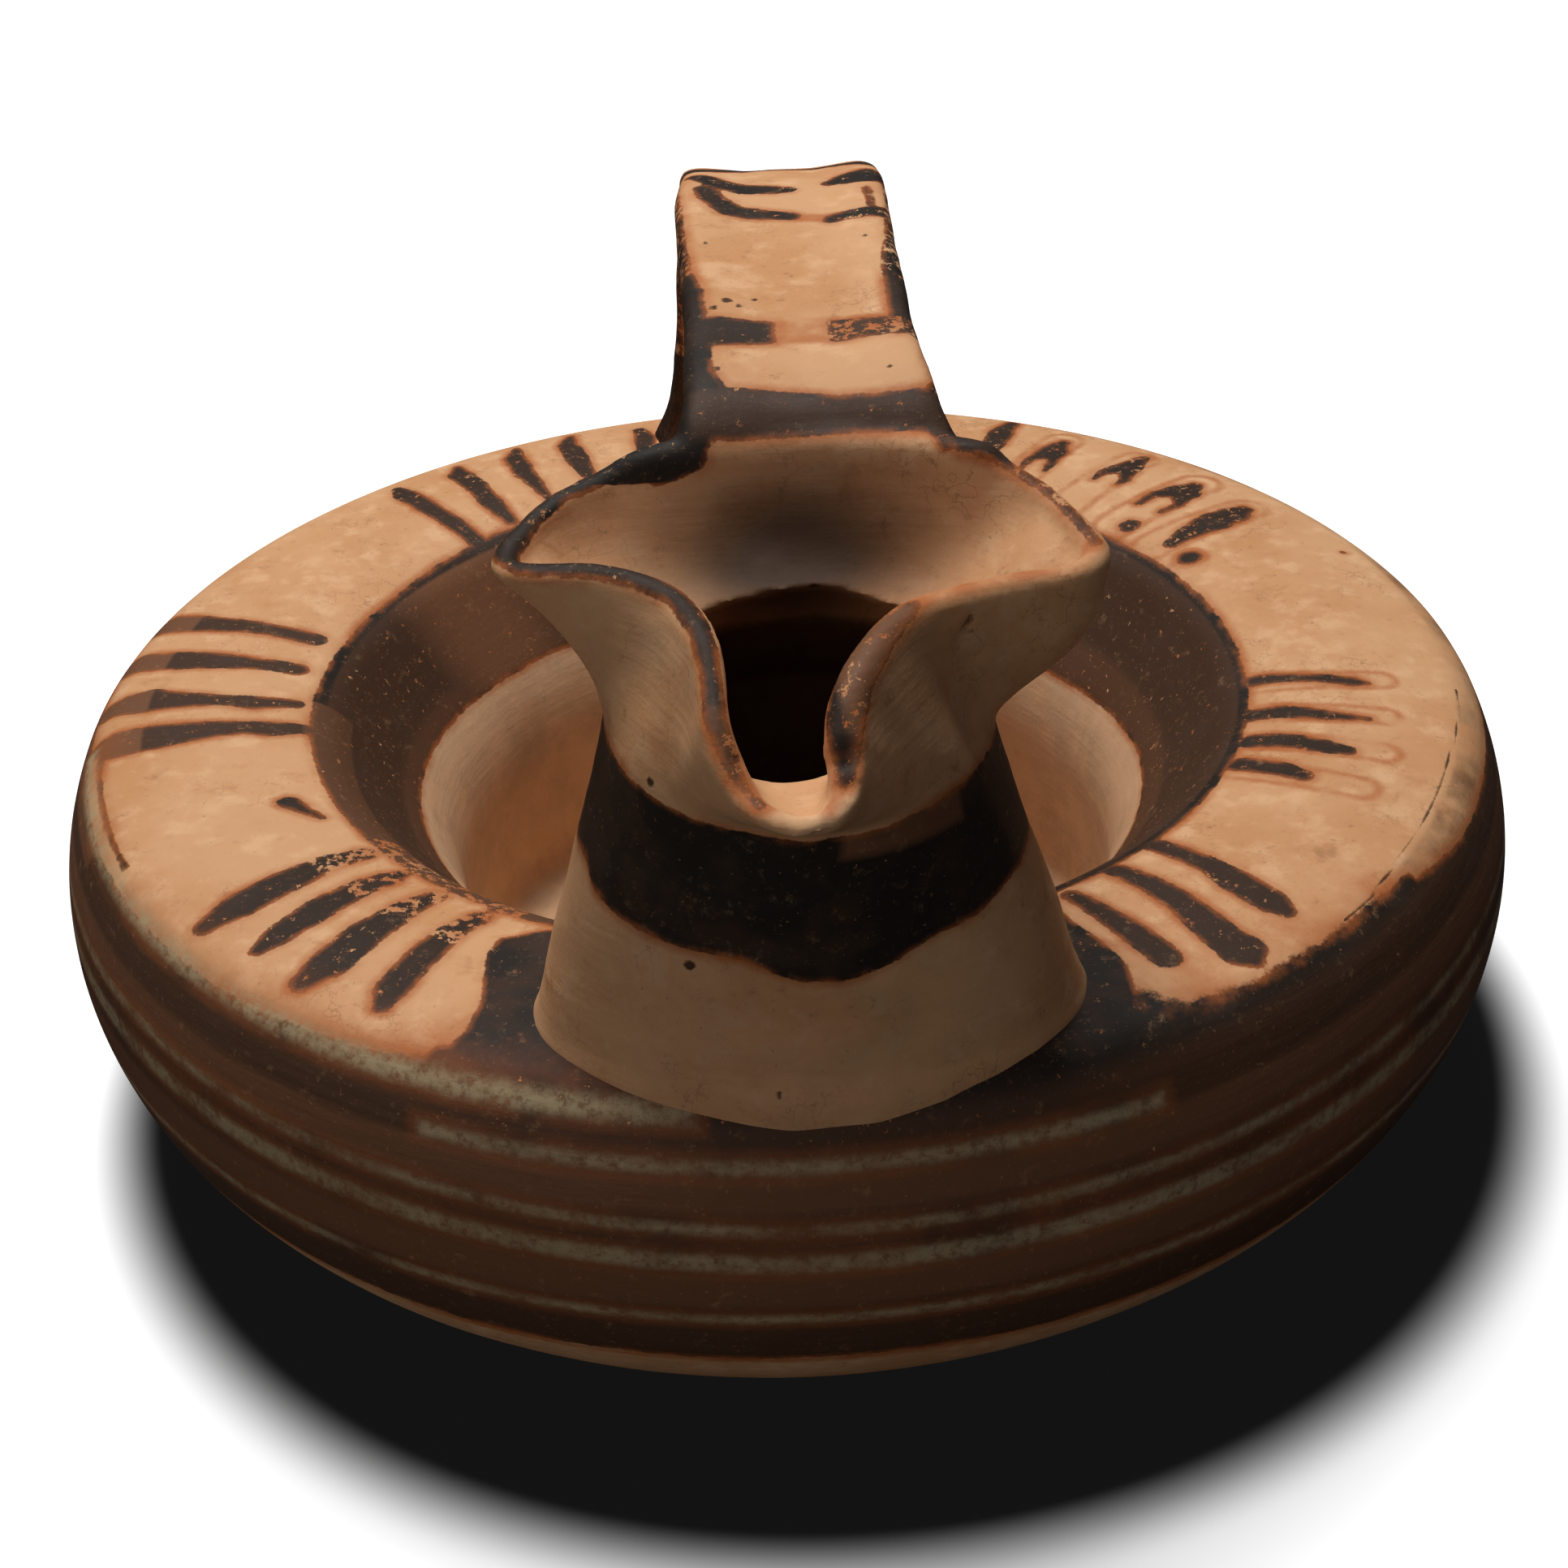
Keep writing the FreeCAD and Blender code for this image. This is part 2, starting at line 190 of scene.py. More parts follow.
def make_mesh(name: str, points: np.ndarray, faces: Sequence[Sequence[int]]) -> bpy.types.Object:
    """Makes a mesh object at the origin.

    Args:
        name: The object's name.
        points: The points in millimetres.
        faces: The points of each face.

    Returns:
        The object, in the scene.
    """
    mesh = bpy.data.meshes.new(name)
    mesh.from_pydata((np.asarray(points) * MM).tolist(), [], faces)
    piece = bpy.data.objects.new(name, mesh)
    bpy.context.scene.collection.objects.link(piece)
    return piece


def net(rings: Sequence[np.ndarray]) -> tuple[np.ndarray, list[list[int]]]:
    """Skins rings of points into a closed body whose ends are fans to their own middles.

    Args:
        rings: Rings with the same number of points each, from the first end to the last.

    Returns:
        The points and the faces, which look outwards.
    """
    count = len(rings[0])
    points = np.vstack([*rings, rings[0].mean(0)[None], rings[-1].mean(0)[None]])
    faces = []
    for row in range(len(rings) - 1):
        for column in range(count):
            after = (column + 1) % count
            low, high = row * count, (row + 1) * count
            faces.append([low + column, low + after, high + after, high + column])
    last = (len(rings) - 1) * count
    first_middle, last_middle = len(points) - 2, len(points) - 1
    for column in range(count):
        after = (column + 1) % count
        faces.append([after, column, first_middle])
        faces.append([last + column, last + after, last_middle])
    return points, faces


def bake(piece: bpy.types.Object) -> None:
    """Turns a piece's modifiers into its plain mesh.

    Args:
        piece: The piece.
    """
    graph = bpy.context.evaluated_depsgraph_get()
    finished = bpy.data.meshes.new_from_object(piece.evaluated_get(graph))
    piece.modifiers.clear()
    piece.data = finished


def places_of(piece: bpy.types.Object) -> np.ndarray:
    """Reads a piece's vertices.

    Args:
        piece: The piece.

    Returns:
        Their places in millimetres, one row each.
    """
    flat = np.zeros(len(piece.data.vertices) * 3)
    piece.data.vertices.foreach_get("co", flat)
    return flat.reshape(-1, 3) / MM


def normals_of(piece: bpy.types.Object) -> np.ndarray:
    """Reads a piece's vertex normals.

    Args:
        piece: The piece.

    Returns:
        The normals, one row each.
    """
    flat = np.zeros(len(piece.data.vertices) * 3)
    piece.data.vertices.foreach_get("normal", flat)
    return flat.reshape(-1, 3)


def move_vertices(piece: bpy.types.Object, places: np.ndarray) -> None:
    """Sets every vertex of a piece, in millimetres."""
    piece.data.vertices.foreach_set("co", (places * MM).ravel())
    piece.data.update()


# Paint, as numbers kept on every vertex

class Layer(Enum):
    """What the painter or time left on the clay, with painted shade, a painted highlight and painted light
    among them, each kept as one number a vertex.
    """

    SLIP = "slip"
    GHOST = "ghost"
    # Pale lines on the wall, and a painted highlight along the left of the shoulder
    PALE_AND_HIGHLIGHT = "pale_and_highlight"
    BROWN = "brown"
    WEAR = "wear"
    # Soil and dirt, and a painted shade in the mouth's bowl
    DIRT_AND_SHADE = "dirt_and_shade"
    CRACK = "crack"
    # Painted shade in the throat and painted shadow in the hollow under the strap's end
    PAINTED_SHADE = "painted_shade"
    # Painted light that makes the well's deep part paler
    PAINTED_LIGHT = "painted_light"


class Painting:
    """The layers of paint on one piece."""

    def __init__(self, piece: bpy.types.Object) -> None:
        """Starts with bare clay."""
        self.piece = piece
        self.places = places_of(piece)
        count = len(self.places)
        depth_layers = (Layer.SLIP, Layer.GHOST, Layer.PALE_AND_HIGHLIGHT, Layer.CRACK)
        self.layers = {layer: np.full(count, FAR if layer in depth_layers else 0.0) for layer in Layer}

    def cover(self, layer: Layer, depth: np.ndarray) -> None:
        """Adds an area to a layer, given how deep each vertex lies inside it."""
        self.layers[layer] = np.maximum(self.layers[layer], depth)

    def tint(self, layer: Layer, amount: np.ndarray) -> None:
        """Raises a layer of amounts where the new amount is larger."""
        self.layers[layer] = np.maximum(self.layers[layer], amount)

    def brush(self, depth: np.ndarray, wear: float, brown: float, soft: tuple[float, float]) -> None:
        """Covers an area with slip.

        Args:
            depth: How deep each vertex lies inside the area.
            wear: How worn the slip is.
            brown: How brown it is.
            soft: The depths between which wear and brown come in.
        """
        self.cover(Layer.SLIP, depth)
        touched = ease(depth, *soft)
        self.tint(Layer.WEAR, touched * wear)
        self.tint(Layer.BROWN, touched * brown)

    def store(self) -> None:
        """Writes the layers onto the piece's mesh."""
        for layer, values in self.layers.items():
            kept = self.piece.data.attributes.new(layer.value, "FLOAT", "POINT")
            kept.data.foreach_set("value", values.astype(np.float32))


# Node trees

class Web:
    """Adds and joins the nodes of one tree."""

    def __init__(self, tree: bpy.types.NodeTree) -> None:
        """Starts on a tree."""
        self.tree = tree

    def node(self, kind: str, inputs: dict | None = None, **settings: object) -> bpy.types.Node:
        """Adds a node.

        Args:
            kind: The node's Blender type.
            inputs: A value or a socket for each input, by its name or number.
            settings: The node's own settings.

        Returns:
            The node.
        """
        made = self.tree.nodes.new(kind)
        for name, value in settings.items():
            setattr(made, name, value)
        for key, value in (inputs or {}).items():
            if isinstance(value, bpy.types.NodeSocket):
                self.tree.links.new(value, made.inputs[key])
            else:
                made.inputs[key].default_value = value
        return made

    def sum(self, operation: str, *values: object) -> bpy.types.NodeSocket:
        """The result of one Math node."""
        return self.node("ShaderNodeMath", dict(enumerate(values)), operation=operation).outputs[0]

    def rise(self, value: object, start: object, end: object, top: object = 1.0) -> bpy.types.NodeSocket:
        """A smooth rise from 0.

        Args:
            value: The number that is read.
            start: Where the rise starts.
            end: Where it is full.
            top: Its height there.

        Returns:
            The risen number.
        """
        inputs = {"Value": value, "From Min": start, "From Max": end, "To Min": 0.0, "To Max": top}
        return self.node("ShaderNodeMapRange", inputs, interpolation_type="SMOOTHSTEP").outputs[0]

    def noise(self, where: bpy.types.NodeSocket, size: float, detail: float = 3.0,
              roughness: float = 0.55, shift: float = 0.0) -> bpy.types.NodeSocket:
        """Cloudy noise between 0 and 1.

        Args:
            where: The place in millimetres.
            size: How wide a patch is.
            detail: How many finer layers.
            roughness: How strong the finer layers are.
            shift: Sets one pattern apart from another.

        Returns:
            The noise.
        """
        inputs = {"Vector": where, "W": shift, "Scale": 1.0 / size, "Detail": detail, "Roughness": roughness}
        return self.node("ShaderNodeTexNoise", inputs, noise_dimensions="4D").outputs[0]

    def mix(self, share: object, first: object, second: object) -> bpy.types.NodeSocket:
        """Blends two colours."""
        inputs = {0: share, 6: first, 7: second}
        return self.node("ShaderNodeMix", inputs, data_type="RGBA").outputs[2]

    def attribute(self, layer: Layer) -> bpy.types.NodeSocket:
        """A layer of paint as a number."""
        return self.node("ShaderNodeAttribute", attribute_name=layer.value).outputs["Fac"]

    def product(self, found: dict[str, bpy.types.NodeSocket],
                factors: Sequence[tuple]) -> bpy.types.NodeSocket:
        """Multiplies factors.

        Args:
            found: The patterns and layers by name.
            factors: For each, a name with its strength, or with where it starts and is full and its strength.

        Returns:
            The product.
        """
        result = None
        for name, *limits in factors:
            rising = len(limits) > 1
            part = self.rise(found[name], *limits) if rising else self.sum("MULTIPLY", found[name], *limits)
            result = part if result is None else self.sum("MULTIPLY", result, part)
        return result


Colour = tuple[float, float, float, float]


def tone(red: int, green: int, blue: int) -> Colour:
    """A colour given as it looks on a screen, as Blender's linear values."""
    def linear(value: int) -> float:
        """One channel made linear."""
        share = value / 255
        return share / 12.92 if share <= 0.04045 else ((share + 0.055) / 1.055) ** 2.4
    return linear(red), linear(green), linear(blue), 1.0


# Noise patterns of the clay: patch size in millimetres, detail, roughness and shift
PATTERNS = {
    "clouds": (17.0, 4.0, 0.55, 1.0),
    "mottle": (3.2, 4.0, 0.55, 2.0),
    "grain": (0.42, 2.0, 0.55, 3.0),
    "flakes": (0.95, 5.0, 0.74, 4.0),
    "ragged": (1.9, 4.0, 0.7, 5.0),
    "patches": (9.0, 3.0, 0.55, 6.0),
    "streaks": (6.0, 5.0, 0.7, 7.0),
    "scuffs": (1.6, 6.0, 0.8, 9.0),
}
# Lines that the wheel and a wet hand leave: how the space is stretched, then the pattern in it
WIPED_STRETCH = (0.16, 0.16, 1.5)
WIPED_PATTERN = (1.3, 3.0, 0.55, 8.0)
# Patterns that make painted edges ragged, with their share and their middle in millimetres
RAGGED_PARTS = (("ragged", 0.9, -0.45), ("grain", 0.30, -0.15))
# How much of that raggedness each layer of depths takes
RAGGEDNESS = {Layer.SLIP: 1.0, Layer.GHOST: 1.0, Layer.PALE_AND_HIGHLIGHT: 0.7, Layer.CRACK: 0.35}
# Tints in the order they are laid: the colour, then the factors of its share
BARE_TINTS = (
    ("warm_clay", ("clouds", 0.40, 0.66, 0.75)),
    ("pale_clay", ("mottle", 0.48, 0.70, 0.60)),
    ("warm_clay", ("streaks", 0.54, 0.70, 0.42)),
    ("soil_and_shade", ("streaks", 0.60, 0.76, 0.30)),
    ("soil_and_shade", ("grain", 0.66, 0.76, 0.55), ("mottle", 0.35, 0.65)),
    ("soil_and_shade", ("scuffs", 0.55, 0.72, 0.55), ("clouds", 0.3, 0.6)),
    ("pale_clay", ("scuffs", 0.44, 0.30, 0.35)),
    ("soil_and_shade", ("roots", 0.030, 0.004, 0.36), ("patches", 0.50, 0.66)),
    # Soil and dirt on the ring, and painted shade in the mouth's bowl
    ("soil_and_shade", ("dirt_and_shade", 1.0), ("smudges", 0.80, 1.35)),
    # Painted light in the well's deep part
    ("painted_light", ("painted_light", 1.0)),
    ("halo", ("ghost", -0.5, 0.5, 0.75), ("mottle", 0.25, 0.6)),
    ("halo", ("slip", -1.1, 0.05, 0.85), ("patches", 0.30, 0.62)),
)
STREAK = (("thin_slip", 0.75, 1.05, 0.14),)
SLIP_TINTS = (
    # Painted sheen in patches of the slip
    ("painted_sheen_slip", ("patches", 0.48, 0.70, 0.7)),
    ("brown_slip", ("brownness", 1.0)),
    ("halo", ("slip", 0.75, 0.0, 0.75), ("mottle", 0.35, 0.6)),
    ("clay", ("scuffs", 0.55, 0.74, 0.30)),
    ("clay", ("grain", 0.64, 0.76, 0.24)),
)
CRACK_EDGE = ("crack", -0.12, 0.10, 0.9)
LAST_TINTS = (
    ("halo", ("pale_and_highlight", -1.3, -0.3, 0.30), ("patches", 0.30, 0.55)),
    # Pale lines, and the painted highlight on the shoulder
    ("pale_line_and_highlight", ("pale_and_highlight", -0.45, 0.55, 0.85), ("flakes", 0.74, 0.42), ("streaks", 0.24, 0.58)),
    ("hollow", CRACK_EDGE),
    # Painted shade in the throat and under the strap's end
    ("hollow", ("painted_shade", 0.93)),
)
# What stands up or lies deep on the skin, as shares of the relief
RELIEF = (("grain", 0.35), ("mottle", 0.9), ("covered", 0.35), ("cracked", -3.0), ("wiped", 1.0))


@dataclass(frozen=True)
class FiredClay:
    """Buff clay with a satin skin, under dark slip that wears off in flakes and burns orange at its edges."""

    clay: Colour = tone(213, 162, 117)
    warm_clay: Colour = tone(198, 139, 92)
    pale_clay: Colour = tone(230, 184, 140)
    # Soil, also used for the painted shade in the mouth's bowl
    soil_and_shade: Colour = tone(106, 68, 38)
    # Pale colour of the painted light in the well
    painted_light: Colour = tone(236, 208, 172)
    slip: Colour = tone(38, 31, 25)
    # Bluish grey of a painted sheen on the slip
    painted_sheen_slip: Colour = tone(44, 40, 37)
    brown_slip: Colour = tone(120, 80, 54)
    halo: Colour = tone(176, 96, 46)
    # Pale lines, also used for the painted highlight on the shoulder
    pale_line_and_highlight: Colour = tone(176, 156, 120)
    # Dark brown for cracks and pits, and for the painted shade in the throat and under the strap's end
    hollow: Colour = tone(34, 20, 11)
    clay_roughness: float = 0.68
    slip_roughness: float = 0.62
    roughness_swing: float = 0.25
    gloss: float = 0.17
    flake_limit: float = 0.755
    flake_limit_worn: float = -0.34
    flake_softness: float = 0.035
    slip_edge: tuple[float, float] = (-0.10, 0.14)
    brown_patches: float = 0.8
    root_sway: float = 4.2
    root_sway_scale: float = 0.5
    root_scale: float = 0.36
    relief_strength: float = 0.55
    relief_depth: float = 0.12

    def build(self) -> bpy.types.Material:
        """Makes the material.

        Returns:
            The material, whose patterns sit on object coordinates and on the painted layers.
        """
        material = bpy.data.materials.new("fired_clay")
        material.use_nodes = True
        tree = material.node_tree
        tree.nodes.clear()
        web = Web(tree)
        found = self.sources(web)
        limit = web.sum("MULTIPLY_ADD", found["wear"], self.flake_limit_worn, self.flake_limit)
        gone = web.rise(found["flakes"], web.sum("SUBTRACT", limit, self.flake_softness), limit)
        painted = web.rise(found["slip"], *self.slip_edge)
        found["covered"] = web.sum("MULTIPLY", painted, web.sum("SUBTRACT", 1.0, gone))
        found["cracked"] = web.product(found, (CRACK_EDGE,))
        bare = self.tinted(web, found, self.clay, BARE_TINTS)
        slip = self.tinted(web, found, self.slip, SLIP_TINTS)
        colour = self.tinted(web, found, web.mix(found["covered"], bare, slip), LAST_TINTS)

        roughs = {0: found["covered"], 2: self.clay_roughness, 3: self.slip_roughness}
        even = web.node("ShaderNodeMix", roughs).outputs[0]
        swing = web.sum("SUBTRACT", found["mottle"], 0.5)
        rough = web.sum("MULTIPLY_ADD", swing, self.roughness_swing, even)
        height = 0.0
        for name, share in RELIEF:
            height = web.sum("ADD", height, web.sum("MULTIPLY", found[name], share))
        relief = {"Strength": self.relief_strength, "Distance": self.relief_depth * MM, "Height": height}
        shader = web.node("ShaderNodeBsdfPrincipled", {
            "Base Color": colour,
            "Roughness": rough,
            "Specular IOR Level": self.gloss,
            "Normal": web.node("ShaderNodeBump", relief).outputs[0],
        })
        web.node("ShaderNodeOutputMaterial", {"Surface": shader.outputs[0]})
        return material

    def tinted(self, web: Web, found: dict, colour: object, tints: Sequence[tuple]) -> bpy.types.NodeSocket:
        """Lays tints over a colour.

        Args:
            web: The material's tree.
            found: The patterns and layers by name.
            colour: What lies under the tints.
            tints: The name of each tint's colour, then the factors of its share.

        Returns:
            The last colour.
        """
        for name, *factors in tints:
            colour = web.mix(web.product(found, factors), colour, getattr(self, name))
        return colour

    def sources(self, web: Web) -> dict[str, bpy.types.NodeSocket]:
        """Makes the noise patterns and reads the painted layers.

        Args:
            web: The material's tree.

        Returns:
            A number by each name, depths with ragged edges among them.
        """
        spot = web.node("ShaderNodeTexCoord").outputs["Object"]
        where = web.node("ShaderNodeVectorMath", {0: spot, "Scale": 1.0 / MM}, operation="SCALE").outputs[0]
        found = {name: web.noise(where, *pattern) for name, pattern in PATTERNS.items()}
        stretched = web.node("ShaderNodeVectorMath", {0: where, 1: WIPED_STRETCH}, operation="MULTIPLY")
        found["wiped"] = web.noise(stretched.outputs[0], *WIPED_PATTERN)
        first, second = (web.sum("MULTIPLY_ADD", found[name], *part) for name, *part in RAGGED_PARTS)
        jitter = web.sum("ADD", first, second)
        for layer in Layer:
            number = web.attribute(layer)
            if layer in RAGGEDNESS:
                number = web.sum("ADD", number, web.sum("MULTIPLY", jitter, RAGGEDNESS[layer]))
            found[layer.value] = number
        found["smudges"] = web.sum("ADD", found["mottle"], found["patches"])
        brown_patches = web.sum("MULTIPLY", found["patches"], self.brown_patches)
        found["thin_slip"] = web.sum("ADD", found["mottle"], brown_patches)
        found["brownness"] = web.sum("MAXIMUM", found["brown"], web.product(found, STREAK))
        found["roots"] = self.roots(web, where)
        return found

    def roots(self, web: Web, where: bpy.types.NodeSocket) -> bpy.types.NodeSocket:
        """Fine root marks that wander over the clay.

        Args:
            web: The material's tree.
            where: The place in millimetres.

        Returns:
            How far each place is from a mark, as a share of the marks' spacing.
        """
        sway = web.node("ShaderNodeTexNoise", {"Vector": where, "Scale": self.root_sway_scale, "Detail": 3.0})
        reach = (self.root_sway,) * 3
        bent = web.node("ShaderNodeVectorMath", {0: sway.outputs["Color"], 1: reach, 2: where},
                        operation="MULTIPLY_ADD")
        cells = web.node("ShaderNodeTexVoronoi", {"Vector": bent.outputs[0], "Scale": self.root_scale},
                         feature="DISTANCE_TO_EDGE")
        return cells.outputs["Distance"]


# Ring body

# The wheel's unevenness as noise, and how close two vertices are welded, in metres
WOBBLE = {"Scale": 38.0, "Detail": 3.0, "Roughness": 0.5}
WELD = 1e-6
CORNER_POINTS = 13


def lathe_tree() -> bpy.types.NodeTree:
    """Geometry nodes that turn a profile round the ring's axis, a little uneven as from a wheel.

    Returns:
        The node group, with its named inputs.
    """
    tree = bpy.data.node_groups.new("turned clay", "GeometryNodeTree")
    face = tree.interface
    for name, kind in (("Profile", "Object"), ("Columns", "Int"), ("Rows", "Int"), ("Unevenness", "Float"),
                       ("Seed", "Float"), ("Finish", "Material")):
        face.new_socket(name, in_out="INPUT", socket_type="NodeSocket" + kind)
    face.new_socket("Piece", in_out="OUTPUT", socket_type="NodeSocketGeometry")
    web = Web(tree)
    sizes = web.node("NodeGroupInput").outputs
    last_row = web.sum("SUBTRACT", sizes["Rows"], 1.0)
    grid = web.node("GeometryNodeMeshGrid", {
        "Size X": sizes["Columns"],
        "Size Y": last_row,
        "Vertices X": web.sum("ADD", sizes["Columns"], 1.0),
        "Vertices Y": sizes["Rows"],
    })
    position = web.node("GeometryNodeInputPosition").outputs[0]
    place = web.node("ShaderNodeSeparateXYZ", {0: position}).outputs
    turns = web.sum("DIVIDE", place[0], sizes["Columns"])
    angle = web.sum("MULTIPLY", turns, math.tau)
    row = web.sum("ADD", place[1], web.sum("DIVIDE", last_row, 2.0))
    index = web.node("FunctionNodeFloatToInt", {0: row}, rounding_mode="ROUND").outputs[0]
    profile = web.node("GeometryNodeObjectInfo", {"Object": sizes["Profile"]}).outputs["Geometry"]
    sample = web.node("GeometryNodeSampleIndex", data_type="FLOAT_VECTOR", domain="POINT")
    tree.links.new(profile, sample.inputs["Geometry"])
    tree.links.new(position, sample.inputs["Value"])
    tree.links.new(index, sample.inputs["Index"])
    on_profile = web.node("ShaderNodeSeparateXYZ", {0: sample.outputs[0]}).outputs
    cosine, sine = web.sum("COSINE", angle), web.sum("SINE", angle)
    true_place = web.node("ShaderNodeCombineXYZ", {
        0: web.sum("MULTIPLY", on_profile[0], cosine),
        1: web.sum("MULTIPLY", on_profile[0], sine),
        2: on_profile[2],
    }).outputs[0]
    noise = {"Vector": true_place, "W": sizes["Seed"], **WOBBLE}
    wobble = web.node("ShaderNodeTexNoise", noise, noise_dimensions="4D").outputs[0]
    inwards = web.sum("MULTIPLY", web.sum("MULTIPLY", wobble, sizes["Unevenness"]), MM)
    radius = web.sum("MAXIMUM", web.sum("SUBTRACT", on_profile[0], inwards), 0.0)
    final = web.node("ShaderNodeCombineXYZ", {
        0: web.sum("MULTIPLY", radius, cosine),
        1: web.sum("MULTIPLY", radius, sine),
        2: on_profile[2],
    }).outputs[0]
    turned = web.node("GeometryNodeSetPosition", {"Geometry": grid.outputs[0], "Position": final}).outputs[0]
    closed = web.node("GeometryNodeMergeByDistance", {"Geometry": turned, "Distance": WELD}).outputs[0]
    smooth = web.node("GeometryNodeSetShadeSmooth", {"Geometry": closed, "Shade Smooth": True}).outputs[0]
    real = web.node("GeometryNodeRealizeInstances", {"Geometry": smooth}).outputs[0]
    dressed = web.node("GeometryNodeSetMaterial", {"Geometry": real, "Material": sizes["Finish"]}).outputs[0]
    web.node("NodeGroupOutput", {0: dressed})
    return tree


def spaced(points: Sequence[tuple[float, float]], step: float) -> list[tuple[float, float]]:
    """Spaces places evenly along a profile.

    Args:
        points: The profile's bends.
        step: The longest distance between two places.

    Returns:
        The places, the profile's two ends included.
    """
    bends = np.array(points)
    run = np.concatenate([[0.0], np.cumsum(np.linalg.norm(np.diff(bends, axis=0), axis=1))])
    marks = np.linspace(0.0, run[-1], max(int(math.ceil(run[-1] / step)), 1) + 1)
    return list(zip(np.interp(marks, run, bends[:, 0]), np.interp(marks, run, bends[:, 1])))


def rounded_corner(before: np.ndarray, corner: np.ndarray, after: np.ndarray, size: float) -> np.ndarray:
    """Points of a soft corner between two runs of a profile.

    Args:
        before: A place on the run that comes in.
        corner: Where the runs would meet.
        after: A place on the run that goes out.
        size: How far from the corner the rounding starts.

    Returns:
        The places from the start of the rounding to its end.
    """
    enter = corner + (before - corner) / np.linalg.norm(before - corner) * size
    leave = corner + (after - corner) / np.linalg.norm(after - corner) * size
    share = np.linspace(0.0, 1.0, CORNER_POINTS)[:, None]
    return (1 - share) ** 2 * enter + 2 * share * (1 - share) * corner + share ** 2 * leave


# Brush strokes on top of the ring: angle, radius and full width at each point from the outer end in.
# Each fan's strokes share how worn and how brown they are.
FRONT_LEFT_STROKES = (
    ((217.9, 67.6, 2.4), (217.7, 64, 4.1), (217.4, 59, 3.9), (217.1, 54, 2.95), (217.4, 50.4, 2.2)),
    ((223.7, 66.4, 1.8), (223.5, 64, 3.2), (223.2, 59, 3.6), (223, 54, 3.0), (223.5, 51.5, 2.5),
     (223.5, 48.8, 0.8)),
    ((229.6, 67.2, 2.4), (229.7, 64, 4.3), (229.3, 59, 4.1), (229.2, 54, 3.1), (229.5, 50.5, 2.2)),
    ((236.7, 66.2, 1.8), (236.2, 64, 3.3), (235.7, 59, 3.4), (235.4, 55, 2.9), (235.9, 51, 2.2)),
)
LEFT_STROKES = (
    ((164.9, 69.5, 4.4), (165.1, 64, 3.7), (165.3, 59, 2.8), (165.7, 54, 2.5), (166.1, 51.2, 2.4)),
    ((172.3, 69.5, 4.4), (172.5, 64, 4.0), (172.8, 59, 3.1), (173.2, 54.5, 2.4), (173.5, 51.2, 2.6)),
    ((180.2, 69.5, 3.8), (179.9, 65.5, 4.8), (180.5, 62, 3.4), (180.9, 58, 2.3), (181.6, 54.2, 2.8),
     (181.6, 50.2, 1.8)),
    ((186.4, 69.2, 3.4), (186.9, 67.5, 5.4), (186.9, 64, 5.1), (186.9, 59, 3.6), (187, 55, 2.6),
     (187.5, 52.5, 3.1), (187.4, 48.5, 1.8)),
)
BACK_LEFT_STROKES = (
    ((131.7, 66.5, 1.4), (132.2, 64, 3.1), (132.6, 59, 3), (133.1, 54, 2.7), (133.5, 49, 2.6)),
    ((124.1, 66.5, 1.4), (125, 64, 3.2), (125.5, 59, 3), (126.4, 54, 2.8), (126.7, 50, 1.8)),
    ((116.7, 67, 1.2), (118.1, 64, 3), (119.1, 59, 3), (119.3, 56, 2.2), (119.6, 52, 1.2)),
    ((110.5, 67, 1.2), (111.7, 64, 2.8), (112.2, 59, 3), (112.5, 53.8, 1.8)),
    ((103.1, 65, 1.6), (103.1, 62, 3), (103.6, 59, 2.5)),
)
BACK_RIGHT_STROKES = (
    ((28.9, 63.2, 2.2), (28.5, 61, 4.1), (28.4, 58.5, 4.4), (28, 54, 3.0), (27.5, 51.4, 2.0)),
    ((36.4, 63.3, 2.2), (36.1, 61, 4.4), (38, 58.2, 1.6), (37.8, 55.2, 1.0)),
    ((36.1, 61, 4.2), (34.2, 58.2, 1.6), (34.3, 55.5, 1.0)),
    ((34.9, 51.2, 2.4), (34.9, 50.8, 2.4)),
    ((45.1, 66, 1.4), (44.7, 62, 3.6), (46.2, 59, 1.5), (46.1, 57, 0.9)),
    ((44.7, 62, 3.2), (43, 59, 1.4), (43, 57.5, 0.8)),
    ((54.3, 64.4, 1.6), (54, 61, 4.1), (55.4, 58, 1.4), (55.4, 55, 0.8)),
    ((54, 61, 3.4), (52.6, 58, 1.4), (52.4, 56, 0.8)),
    ((61.6, 67.6, 2.0), (61.6, 64, 3.4), (61.2, 60, 3.1), (60.8, 57.5, 2.2)),
)
RIGHT_STROKES = (
    ((-29.5, 56, 2.0), (-28.8, 54, 2.8), (-28.5, 49.4, 2.6)),
    ((-23.7, 59, 1.8), (-23.6, 57, 2.5), (-22.9, 54, 2.7), (-23, 49.6, 2.7)),
    ((-17.5, 60.2, 1), (-17.2, 56, 2), (-16.6, 52, 2.7), (-16.9, 48.9, 2.4)),
    ((-10.6, 60, 1.2), (-10.3, 58.5, 2.1), (-9.4, 55, 1.6), (-8.6, 49, 2.3)),
)
FRONT_RIGHT_STROKES = (
    ((-61, 63, 3.0), (-61.1, 59, 3.2), (-61.3, 54, 2.3), (-61.3, 50.3, 2.0)),
    ((-55.7, 67.2, 2.8), (-55.7, 66, 4.6), (-55.8, 64, 4.1), (-55, 59, 3.4), (-54.5, 54, 2.8),
     (-54.6, 49.4, 2.2)),
    ((-49.4, 64.8, 2.2), (-49.3, 63, 3.6), (-49, 59, 3.7), (-48.3, 55, 2.6), (-48.1, 49.4, 2.4)),
)
